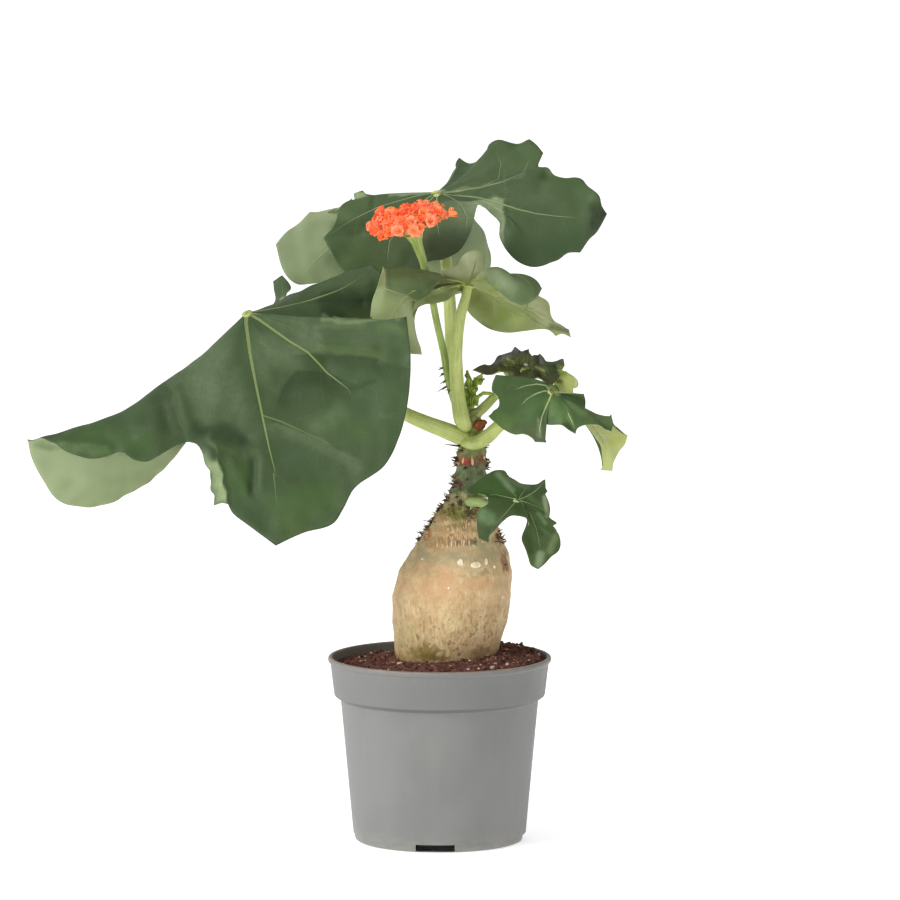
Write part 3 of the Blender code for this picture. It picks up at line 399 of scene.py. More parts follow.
TRUNK = (
    # across, depth, height, radius
    (3.5, 0, 70, 15), (3.5, 0, 80, 22.5), (3.6, 0, 92, 26.4), (4, 0, 105, 28.2), (5.4, 0, 119, 31),
    (6.6, 0, 133, 32.1), (8.4, 0, 146, 30.6), (10.4, 0, 156, 26.6), (11.8, 0, 165, 21), (12.8, 0, 174, 15.8),
    (14.4, 0, 184, 11.4), (16.2, 0, 194, 8.8), (17, 0, 206, 8), (17, 0, 216, 7.5), (17.5, 0.8, 225, 5.6),
    (18, 1.5, 234, 3),
)
TRUNK_STEPS = 224
SIGHT_SLOPE = math.tan(math.radians(8.0))
LEAF_SCARS = (
    # across, height as seen, width, height of each pale oval
    (11.2, 150.4, 3.3, 5.2), (19.4, 149.4, 5.8, 3.9), (25, 151, 2, 4.4), (29.4, 148.4, 1.2, 1.8),
    (-9, 152.5, 2.6, 1.8), (5, 137, 1.6, 1.6), (33.6, 132, 1.8, 1.8),
)


def smooth_points(points, counts, closed=False, corner=180.0):
    """Points on a curve through the given ones, so many in each span. Turns over so many degrees stay sharp."""
    total = len(points)
    ways = [points[(i + 1) % total] - points[i] for i in range(total)]
    sharp = [math.degrees(ways[i - 1].angle(ways[i], 0.0)) > corner for i in range(total)]
    made = []
    for i, steps in enumerate(counts):
        here, there = points[i], points[(i + 1) % total]
        before = points[i - 1] if closed or i else here
        after = points[(i + 2) % total] if closed or i + 2 < total else there
        pull = (there - here).length / 3.0
        leave = here + (there - (here if sharp[i] else before)).normalized() * pull
        arrive = there - ((there if sharp[(i + 1) % total] else after) - here).normalized() * pull
        made += interpolate_bezier(here, leave, arrive, there, steps + 1)[:-1]
    return made if closed else made + [points[-1]]


def stalk_line(route, spacing):
    """The smooth line of a route of (across, depth, height, radius), as a list of (point, radius)."""
    places = [Vector(row[:3]) for row in route]
    widths = [Vector((row[3], 0.0, 0.0)) for row in route]
    counts = [max(1, round((b - a).length / spacing)) for a, b in zip(places, places[1:])]
    radii = smooth_points(widths, counts)
    return [(point, wide.x) for point, wide in zip(smooth_points(places, counts), radii)]


trunk_line = stalk_line(TRUNK, 0.9)


def trunk_at(height):
    """The trunk's centre and radius at a height."""
    for (low, thin), (high, thick) in zip(trunk_line, trunk_line[1:]):
        if low.z <= height <= high.z:
            share = (height - low.z) / (high.z - low.z)
            return low.lerp(high, share), thin + (thick - thin) * share
    return trunk_line[-1]


def front_of_trunk(across, height_seen):
    """The place on the trunk's front that shows at this place in the camera's view."""
    height = height_seen
    for _ in range(8):
        centre, radius = trunk_at(height)
        side = max(-0.995, min(0.995, (across - centre.x) / radius))
        depth = centre.y - radius * math.sqrt(1.0 - side**2)
        height = height_seen - depth * SIGHT_SLOPE
    return Vector((centre.x + side * radius, depth, height))


def bark_relief(spot):
    """How far the bark stands proud at a spot: broad lumps, corky upright wrinkles, pits and scar rings."""
    height = spot.z
    lumps = noise.noise(spot * 0.055) * 0.6 + noise.noise(spot * 0.13) * 0.4
    corky = min(1.0, max(0.0, (172.0 - height) / 26.0))
    wrinkle = noise.noise(Vector((spot.x * 0.62, spot.y * 0.62, spot.z * 0.17)))
    fine = noise.noise(Vector((spot.x * 1.5, spot.y * 1.5, spot.z * 0.55)))
    pit = noise.noise(spot * 0.5 + Vector((9.0, 4.0, 2.0)))
    cork = -0.32 * abs(wrinkle) - 0.2 * abs(fine) - 0.6 * max(0.0, pit - 0.4)
    neck = min(1.0, max(0.0, (height - 156.0) / 12.0)) * min(1.0, max(0.0, (222.0 - height) / 10.0))
    rings = math.sin(height * 0.9 + 2.4 * noise.noise(spot * 0.12)) * 0.35
    knobs = max(0.0, noise.noise(spot * 0.3 + Vector((3.0, 7.0, 1.0)))) * 1.5
    foot = max(0.0, 1.0 - (height - 92.0) / 12.0) if height < 104.0 else 0.0
    lumps *= min(1.0, (236.0 - height) / 30.0)
    return lumps + corky * cork + neck * (rings + knobs) + foot * 0.8 * abs(wrinkle)


def level_way(turn):
    """The level direction at this turn round an upright axis."""
    return Vector((math.cos(turn), math.sin(turn), 0.0))


def trunk_place(column, row):
    centre, radius = trunk_line[min(max(column - 1, 0), len(trunk_line) - 1)]
    if column == 0 or column == len(trunk_line) + 1:
        return centre
    turn = math.tau * (row % TRUNK_STEPS) / TRUNK_STEPS
    out = level_way(turn)
    return centre + out * (radius + bark_relief(centre + out * radius))


def blotch(coat, spot, size, over, share, mottle=3.6):
    """A patch of another tone with a broken edge, round a spot seen on the trunk's front or a centre inside it."""
    centre = front_of_trunk(*spot) if len(spot) == 2 else spot
    moved = coat.add("Mapping", {"Vector": coat.place, "Location": tuple(-c * MM for c in centre)}).outputs[0]
    scale = tuple(1.0 / (s * MM) for s in size)
    away = coat.length(coat.add("Mapping", {"Vector": moved, "Scale": scale}).outputs[0])
    ragged = coat.maths("ADD", away, coat.grain((mottle, mottle, mottle * 1.2), -0.4, 0.4, detail=2))
    coat.lay(coat.ramped(ragged, 1.25, 0.4, 0.0, share), over)


def trunk_finish():
    """Tan cork, grey-green on the shoulder and brown and green on the neck, with a red band under the tip."""
    coat = Finish("jatropha bark", 0.62, 0.4)
    height = coat.split(coat.place)[2]
    wavy = coat.maths("ADD", height, coat.grain((14, 14, 9), -0.004, 0.004))
    small = coat.grain((2.2, 2.2, 3.2), detail=5, rough=0.65)
    dashes = coat.grain((0.9, 0.9, 5))
    coat.tone = coat.mix(coat.grain((8, 8, 9), detail=5, rough=0.6), "#bd9766", "#dcc18f")
    coat.lay(small, "#ebd5aa", 0.4)
    streaks = coat.ramped(dashes, 0.62, 0.95)
    coat.lay(streaks, "#8a6c34", coat.times(coat.ramped(wavy, 0.142, 0.122), 0.3))
    pits = coat.ramped(coat.grain((2.6, 2.6, 3.4), detail=1), 0.93, 1.0, 0.0, 0.5)
    coat.lay(pits, "#6a4312", coat.ramped(wavy, 0.138, 0.106, 0.3, 1.2))
    flecks = coat.ramped(coat.grain((1.1, 1.1, 1.6), detail=2), 0.9, 1.0, 0.0, 0.2)
    coat.lay(flecks, "#f3e6c3")
    peach = coat.times(coat.ramped(wavy, 0.128, 0.14), coat.ramped(wavy, 0.158, 0.146))
    coat.lay(peach, "#d9a274", coat.grain((3.2, 3.2, 2.2), 0.0, 0.42, detail=4))
    coat.lay(coat.ramped(wavy, 0.107, 0.1), "#8c6f3c", 0.6)
    coat.lay(coat.ramped(wavy, 0.1, 0.096), "#5d3c26", 0.7)
    shoulder = coat.times(coat.ramped(wavy, 0.147, 0.155), coat.ramped(wavy, 0.172, 0.163))
    coat.lay(shoulder, "#b3a682", coat.grain((14, 14, 4), 0.0, 0.75, detail=1))
    for patch in BARK_BLOTCHES:
        blotch(coat, *patch)
    knobby = coat.grain((3, 3, 3.6), detail=4, rough=0.6)
    brown = coat.grain((4, 4, 3))
    neck = coat.mix(coat.times(brown, 0.4), coat.mix(knobby, "#8f8a55", "#c8bf8a"), "#6f5436")
    coat.lay(coat.ramped(wavy, 0.171, 0.179), neck, 0.85)
    coat.lay(coat.ramped(wavy, 0.186, 0.192), coat.mix(knobby, "#5d6a46", "#7f8c64"))
    for patch in NECK_BLOTCHES:
        blotch(coat, *patch, 1.3)
    coat.lay(coat.ramped(wavy, 0.2085, 0.2105), coat.mix(knobby, "#6a6a3c", "#858a50"))
    coat.lay(coat.ramped(wavy, 0.2135, 0.216), coat.mix(brown, "#75833f", "#a3b060"))
    coat.bump(coat.grain((0.5, 0.5, 0.9), detail=4, rough=0.65), 0.1)
    coat.bump(dashes, 0.1)
    return coat.done(coat.ramped(small, 0.0, 1.0, 0.52, 0.7))


BARK_BLOTCHES = (
    # spot or centre, half size, tone, strength
    ((3, 141), (9, 12, 7), "#d9a67a", 0.45), ((17, 139.5), (10, 12, 3), "#d09b70", 0.4),
    ((24, 155), (17, 14, 6), "#a6a07c", 0.45), ((33, 142), (6, 16, 15), "#a8966a", 0.35),
    ((10, 156.5), (9, 9, 4.5), "#b3ac90", 0.4), ((35, 150), (2.4, 8, 6), "#8a4f2c", 0.75),
    ((23.5, 145.8), (3.4, 5, 1.8), "#6b6442", 0.45), ((12, 143.5), (3, 5, 1.6), "#8a8f5a", 0.35),
    ((-3, 161), (4.5, 6, 4), "#c78f5c", 0.6), ((-6, 165.6), (3, 6, 3), "#b97440", 0.85),
    ((5.5, 166), (11.5, 9, 7), "#dcb683", 0.85), ((14.5, 161.5), (5.5, 5, 1.6), "#6b4a3c", 0.65),
    ((-9, 102.6), (13, 12, 4.2), "#84712f", 0.8), ((-5, 99.6), (9, 9, 2.6), "#6c5624", 0.7),
    ((-16, 99), (8, 9, 3), "#98824a", 0.6), ((23, 102.6), (6, 10, 3.6), "#8a6a40", 0.55),
    ((-18, 112), (10, 12, 12), "#a39a62", 0.35),
)
NECK_BLOTCHES = (
    ((10.5, 176.5), (5, 6, 5.6), "#858a46", 0.85), ((2, 176.5), (4.6, 6, 4), "#b08c56", 0.7),
    ((6.1, 178.8), (1.8, 4, 2.6), "#8a6636", 0.8), ((11.5, 179.6), (2.2, 4, 2.6), "#abab60", 0.8),
    ((19.2, 166.5), (2, 3, 2.2), "#c99a80", 0.8), ((19.2, 162.4), (0.9, 3, 3.2), "#5f6b42", 0.8),
    ((8.6, 185.6), (1.8, 4, 2.4), "#a8a28c", 0.8), ((11.4, 183.4), (1.8, 4, 3), "#3e3a22", 0.8),
    ((16.4, 178), (4.5, 6, 4.6), "#4f4428", 0.85), ((10, 194.4), (3, 6, 3.4), "#6b3a32", 0.9),
    ((17, 0, 206.8), (12, 12, 3.4), "#8a5a3e", 0.95), ((14.6, 205.8), (4.4, 5, 2.8), "#b5443a", 0.97),
    ((22, 207.5), (3, 4, 1.6), "#8d4a30", 0.85), ((10.8, 207.2), (2.4, 4, 1.8), "#c06a3c", 0.85),
)

work = bmesh.new()
mapped_grid(work, len(trunk_line) + 1, TRUNK_STEPS, trunk_place)
seal(work)
place_piece("swollen_trunk", work, trunk_finish(), "trunk")


# Scars, splinters and scales on the trunk. Where leaves fell off, pale corky ovals are left, and above them
# their dry stipules stand as brown forked spikes, thickest on the neck. All of it grows from the bark.


def grow_tube(work, line, sides, squeeze=1.0, side=None, ribs=0.0, layout=None):
    """A stem along a list of (point, radius), closed at both ends; squeeze flattens it and ribs make it uneven."""
    closed = [(line[0][0], 0.0), *line, (line[-1][0], 0.0)]
    along = (line[-1][0] - line[0][0]).normalized()
    side = side or along.orthogonal().normalized()
    frames = []
    for i, (point, radius) in enumerate(closed):
        step = closed[min(i + 1, len(closed) - 1)][0] - closed[max(i - 1, 0)][0]
        if step.length > 1e-6:
            along = step.normalized()
            side = (side - along * side.dot(along)).normalized()
        frames.append((point, side * radius, along.cross(side) * radius * squeeze))

    def tube_place(column, row):
        point, across, up = frames[column]
        turn = math.tau * (row % sides) / sides
        out = across * math.cos(turn) + up * math.sin(turn)
        if ribs:
            out *= 1.0 + ribs * noise.noise(Vector((math.cos(turn) * 1.6, math.sin(turn) * 1.6, column * 0.12)))
        return point + out

    corners = mapped_grid(work, len(closed) - 1, sides, tube_place, layout)
    weld(work, 0.002, corners)


def thorn(work, foot, direction, length, radius, droop, dice, sides=5):
    """A dry pointed scale that bends as it dries."""
    aside = Vector([dice.uniform(-1.0, 1.0) for _ in range(3)]) * 0.35
    line = []
    for step in range(5):
        share = step / 4.0
        bend = (aside + Vector((0.0, 0.0, droop))) * length * share**2 * 0.5
        line.append((foot + direction * length * share + bend, radius * (1.0 - 0.86 * share)))
    grow_tube(work, line, sides)


def forked_scale(work, foot, out, length, dice):
    """One stipule: a short stump that forks into a few spikes."""
    stump = foot + out * length * 0.3
    grow_tube(work, [(foot - out * 0.8, 0.9), (foot, 0.85), (stump, 0.6)], 6)
    for _ in range(dice.randint(3, 5)):
        aim = (out + Vector([dice.uniform(-0.75, 0.75) for _ in range(3)])).normalized()
        reach = length * dice.uniform(0.35, 1.0) ** 1.5
        thorn(work, stump - out * 0.3, aim, reach, 0.46, dice.uniform(-0.5, 0.4), dice)


def scale_finish(name, dark, light):
    """Dry scale tissue, mottled between a dark and a light tone."""
    coat = Finish(name, 0.7, 0.35)
    coat.tone = coat.mix(coat.grain((1.6, 1.6, 2.2), detail=4), dark, light)
    coat.bump(coat.grain((0.3, 0.3, 0.6)), 0.08)
    return coat.done()


scale_dice = random.Random(17)
SCALE_RINGS = (
    # height, scales round the trunk, length, how much lower the ring lies on the left
    (164, 11, 3.4, 2), (169, 11, 4, 1.5), (175, 11, 3.8, 0.5), (182, 9, 3.6, 0), (188, 7, 3.4, 0), (195, 6, 3.6, 0),
    (205.5, 9, 3, 0), (213.5, 6, 4, 0),
)
dark_scales, pale_scales = bmesh.new(), bmesh.new()
for height, count, length, tilt in SCALE_RINGS:
    for i in range(count):
        turn = math.tau * (i + scale_dice.uniform(-0.35, 0.35)) / count + height
        out = level_way(turn)
        level = height + scale_dice.uniform(-2.4, 2.4) + out.x * tilt
        centre, radius = trunk_at(level)
        aim = (out + Vector((0.0, 0.0, scale_dice.uniform(-0.1, 0.8)))).normalized()
        front = out.y < -0.35 and level < 178.0
        reach = length * scale_dice.uniform(0.5, 1.1) * (0.5 if front else 1.0)
        kind = pale_scales if scale_dice.random() < (1.0 if front else 0.3) else dark_scales
        forked_scale(kind, centre + out * (radius - 0.2), aim, reach, scale_dice)
SPIKES = (
    # across, height as seen, direction, length, radius: the larger ones that show
    (-10.5, 172.5, (-1, -0.2, 0.25), 7, 0.5), (-12, 166, (-0.9, -0.5, 0.35), 5.5, 0.9),
    (-14, 163.5, (-0.95, -0.4, -0.1), 4, 0.8), (-8.5, 169.5, (-0.8, -0.6, 0.3), 5.5, 0.8),
    (-1, 181, (-0.9, -0.3, 0.5), 4.5, 0.7), (3.5, 184, (-0.8, -0.5, 0.4), 4.2, 0.8),
    (6.5, 188.5, (-0.8, -0.4, 0.5), 4, 0.7), (8.2, 196.5, (-0.9, -0.4, 0.5), 4.6, 0.9),
    (8.6, 193.8, (-0.95, -0.3, -0.2), 5, 0.6), (26, 203.5, (0.9, -0.3, 0.3), 3.4, 0.9),
    (9.2, 206, (-0.95, -0.2, 0.2), 3.6, 0.9), (10.5, 214, (-1, -0.3, 0.1), 8.5, 0.8),
    (24.6, 213, (0.95, -0.3, 0.1), 2.6, 0.8), (31.5, 163.5, (0.6, -0.5, 0.6), 4.2, 1),
    (33.5, 161.5, (0.8, -0.3, 0.5), 3.8, 0.9), (35.2, 149.5, (0.5, -0.6, 0.6), 3, 0.6),
)
TUFTS = (
    # across, height as seen, spread, spikes, how far left (below 0) or right they lean
    (-13.4, 164, 1.8, 22, -1), (-11, 168.6, 1.6, 20, -1), (-6, 171.4, 1.6, 14, -0.9), (-2.4, 176.6, 1.8, 16, -0.9),
    (0.6, 181, 1.6, 16, -0.9), (4.4, 185.6, 1.6, 14, -0.9), (8.6, 194.4, 1.6, 20, -0.8), (9.4, 206, 1.4, 14, -0.9),
    (25.6, 203, 1.4, 10, 0.9), (31.6, 165.6, 2, 24, 0.8), (34.6, 162, 1.2, 10, 0.8), (12, 183, 2.4, 12, -0.2),
    (16, 179, 2.6, 14, 0.1),
)


def drawn(ranges):
    """One random number from each range, in turn."""
    return Vector([scale_dice.uniform(low, high) for low, high in ranges])


for across, height, spread, count, lean in TUFTS:
    for _ in range(count):
        spot = (across + scale_dice.gauss(0.0, spread * 0.6), height + scale_dice.gauss(0.0, spread))
        foot = front_of_trunk(*spot) + Vector((0.0, scale_dice.uniform(0.0, 3.0), 0.0))
        aim = drawn(((lean - 0.5, lean + 0.5), (-1.0, 0.1), (-0.4, 0.9)))
        kind = pale_scales if scale_dice.random() < 0.22 else dark_scales
        length, radius = drawn(((1.8, 4.4), (0.45, 0.85)))
        aim.normalize()
        thorn(kind, foot - aim * 0.8, aim, length, radius, 0.0, scale_dice)
MOSS_TUFTS = (
    # across, height as seen, spread, threads of moss
    (-3, 175.4, 1.3, 20), (2.6, 178.6, 2, 26), (6.4, 176, 2.2, 26), (9.6, 180.2, 1.8, 26), (11.6, 175.6, 2.2, 26),
)
moss = bmesh.new()
for across, height, spread, count in MOSS_TUFTS:
    for _ in range(count):
        foot = front_of_trunk(across + scale_dice.gauss(0.0, spread), height + scale_dice.gauss(0.0, spread * 0.7))
        aim = drawn(((-0.9, 0.7), (-1.0, -0.2), (-0.5, 0.9))).normalized()
        length, radius = drawn(((1.0, 2.2), (0.3, 0.55)))
        thorn(moss, foot - aim * 0.5, aim, length, radius, 0.0, scale_dice)
seal(moss)
place_piece("neck_moss", moss, scale_finish("dry moss", "#6b6a30", "#b3ad62"))
for across, height, aim, length, radius in SPIKES:
    foot = front_of_trunk(across, height)
    thorn(dark_scales, foot - Vector(aim) * 0.9, Vector(aim).normalized(), length, radius, 0.0, scale_dice, 6)
CREAM_SPLINTERS = (
    # across, height as seen of the foot, height, width
    (-1, 158.5, 6, 0.9), (1.6, 158, 5.4, 0.7), (4.4, 157.6, 6.6, 0.9), (6.6, 158.6, 4.8, 0.7), (8.6, 159.6, 4, 0.6),
    (5.2, 166.4, 5, 0.8), (7.6, 166, 5.6, 1), (10, 166.8, 4.4, 0.8), (18.6, 164.6, 4, 1.4), (12.4, 204.2, 3.8, 0.8),
    (17.9, 202.6, 6, 0.9), (24, 206.6, 2, 0.8),
)
fibres = [drawn(((-7.0, 17.0), (158.0, 169.0), (2.0, 7.5), (0.35, 0.6))) for _ in range(40)]
for across, height, tall, wide in (*CREAM_SPLINTERS, *fibres):
    foot = front_of_trunk(across, height)
    head = front_of_trunk(across + scale_dice.uniform(-0.6, 0.6), height + tall)
    outward = Vector((0.0, -1.0, 0.0))
    line = [
        (foot - outward * 0.5, wide * 0.5),
        (foot.lerp(head, 0.4) + outward * 0.35, wide),
        (foot.lerp(head, 0.75) + outward * 0.5, wide * 0.8),
        (head + outward * 0.3, wide * 0.25),
    ]
    grow_tube(pale_scales, line, 8, 0.6)
scars = bmesh.new()
for across, height, wide, tall in LEAF_SCARS:
    seat = front_of_trunk(across, height)
    corners = bmesh.ops.create_icosphere(scars, subdivisions=3, radius=1.0)["verts"]
    centre, _ = trunk_at(seat.z)
    facing = Vector((seat.x - centre.x, seat.y - centre.y, 0.0)).normalized()
    swing = facing.to_track_quat("Z", "Y").to_matrix()
    for corner in corners:
        flat = Vector((corner.co.x * wide / 2, corner.co.y * tall / 2, corner.co.z * 0.55))
        dent = 0.12 * math.exp(-(corner.co.x**2 + corner.co.y**2) * 3.0)
        corner.co = (seat + swing @ (flat - Vector((0.0, 0.0, dent)))) * MM
seal(dark_scales)
seal(pale_scales)
dry_brown = scale_finish("dry brown scales", "#3a2b23", "#80604a")
dry_tan = scale_finish("dry tan cork", "#cfaa7c", "#f3deb8")
place_piece("dark_leaf_scales", dark_scales, dry_brown)
place_piece("pale_splinters", pale_scales, dry_tan)
place_piece("pale_leaf_scars", scars, scale_finish("cream cork", "#dfc49c", "#fbf0d8"))

work = bmesh.new()
SCAR_LUMPS = (((21.2, -3.6, 225.6), (3.5, 2.6, 3)), ((22.8, -3.2, 227), (2.8, 2.2, 1.8)))
for centre, size in SCAR_LUMPS:
    corners = bmesh.ops.create_icosphere(work, subdivisions=3, radius=1.0)["verts"]
    for corner in corners:
        bumpy = corner.co * (1.0 + 0.12 * noise.noise(corner.co * 2.0))
        corner.co = (Vector(centre) + Vector([a * b for a, b in zip(bumpy, size)])) * MM
place_piece("fresh_leaf_scar", work, scale_finish("fresh leaf scar", "#66341c", "#a65f3a"))


# Leaf stalks. Six fleshy green stalks, round and fattest where they leave the stem, each running up into the
# middle of its blade, where the veins gather in a small pale knob.

STALKS = {
    # where it meets its blade (across, height as seen, depth), its dark and light tone, and its route from inside
    # the stem: across, depth, height, radius
    "stalk_big": (
        (-103, 285.5, -22), "#a5b35a", "#beca74",
        (14.6, -4.6, 218.4, 3.6), (10.6, -4.8, 220, 4.6), (5, -5.4, 222.4, 4.6), (-5, -8, 226.6, 4.1),
        (-16, -11, 231.6, 3.7), (-45, -15, 246, 3.3), (-76, -17, 264, 2.9), (-96, -19, 278, 2.7),
        (-102.6, -21.6, 287.6, 2.6),
    ),
    "stalk_top": (
        (-1.5, 352, 35), "#a8b767", "#c2cf7e",
        (15, 3, 227, 3.8), (11, 7.5, 234, 3.9), (8, 9.5, 247, 3.7), (6.6, 11, 265, 3.6), (5.6, 13.5, 287, 3.4),
        (3.4, 20, 312, 3.1), (0.4, 29, 335, 2.8), (-1.4, 34.6, 346.4, 2.6),
    ),
    "stalk_middle": (
        (15.5, 301, -6), "#a5b45d", "#c0cc76",
        (14.6, -4.4, 225, 3.4), (12.2, -9.6, 229, 4.3), (11.2, -9.6, 233, 4.3), (9.6, -8.8, 245, 3.8),
        (8.8, -8.6, 265, 3.5), (11, -7.8, 284, 2.9), (14.2, -6.6, 296, 2.5), (15.4, -6, 301.2, 2.3),
    ),
    "stalk_right": (
        (60.5, 243, -14), "#a1b057", "#bdc972",
        (12.6, -5.4, 217.6, 3.3), (18.6, -7.2, 216.6, 3.9), (25.4, -8.2, 220, 3.9), (32, -10, 226.2, 3.4),
        (44, -11.5, 235, 2.8), (55, -12.5, 240.6, 2.4), (60.2, -13.8, 244.4, 2.2),
    ),
    "stalk_young": (
        (46, 256, 4), "#83954a", "#a5b55a",
        (17.6, 0.6, 229, 2.7), (24, 0.4, 235, 2.7), (31, 1, 242, 2.3), (40, 3, 249, 1.9), (45.8, 4, 254.8, 1.7),
    ),
    "stalk_low": (
        (42, 185, -24), "#84a057", "#a4bb76",
        (13, -6, 184, 2.7), (19.5, -15, 185.8, 2.7), (26, -20, 185.4, 2.4), (35, -22.6, 184.6, 2.1),
        (41.6, -23.6, 187.6, 1.9),
    ),
}
STALK_STEP = 1.6


def seen(point):
    """Where a point of the layout (across, height as seen, depth) is in space."""
    across, height, depth = point
    return Vector((across, depth, height - depth * SIGHT_SLOPE))


def stalk_finish(name, dark, light):
    """Fleshy stalk: finely streaked along its length, a little waxy, and darker where it leaves the stem."""
    coat = Finish(name, 0.42, 0.45)
    along, around, _ = coat.split(coat.add("UVMap", uv_map="length").outputs[0])
    lined = coat.add("CombineXYZ", {0: coat.times(along, 5.0), 1: coat.times(around, 26.0)}).outputs[0]
    streaks = coat.add("TexNoise", {"Vector": lined, "Scale": 1.0, "Detail": 3.0}).outputs[0]
    streaks = coat.ramped(streaks, 0.35, 0.65)
    coat.tone = coat.mix(coat.grain((7, 7, 12), detail=2), dark, light)
    coat.lay(streaks, "#d9e09c", 0.4)
    foot = coat.ramped(along, 0.1, 0.0, 0.0, 0.3)
    coat.lay(foot, "#6d7a35", coat.grain(3, 0.3, 1.0))
    coat.lay(coat.ramped(coat.grain((0.5, 0.5, 0.8), detail=1), 0.9, 1.0, 0.0, 0.14), "#6b7638")
    coat.bump(streaks, 0.12)
    return coat.done()


def grow_stalk(name, line, sides, finish, replaced):
    """A smooth stalk with its own length map, closed at both ends."""
    work = bmesh.new()
    grow_tube(work, line, sides, side=Vector((0.0, 1.0, 0.0)), ribs=0.035, layout="length")
    seal(work)
    return place_piece(name, work, finish, replaced)


for stalk, (end, dark, light, *route) in STALKS.items():
    hub = seen(end)
    ahead = (hub - Vector(route[-1][:3])).normalized()
    tip = route[-1][3]
    full = (*route, (*(hub - ahead * 1.6), tip * 1.25), (*(hub - ahead * 0.1), tip * 1.15))
    green = stalk_finish(f"{stalk} green", dark, light)
    grow_stalk(f"{stalk}_skin", stalk_line(full, STALK_STEP), 28, green, stalk)


# Leaf blades. Six shield-shaped blades of soft, leathery tissue, dark blue-green above and pale below, with
# lobed and waved margins. Main veins run from the stalk's end to each lobe, sunk above and raised below, and
# feather out between.

LEVEL_REACH = 0.62
LEVEL_DROP = 0.22
BLADE_THICKNESS = 0.55
EASING_ROUNDS = 14
SHARP_TURN = 48.0
BRANCH = 0.65
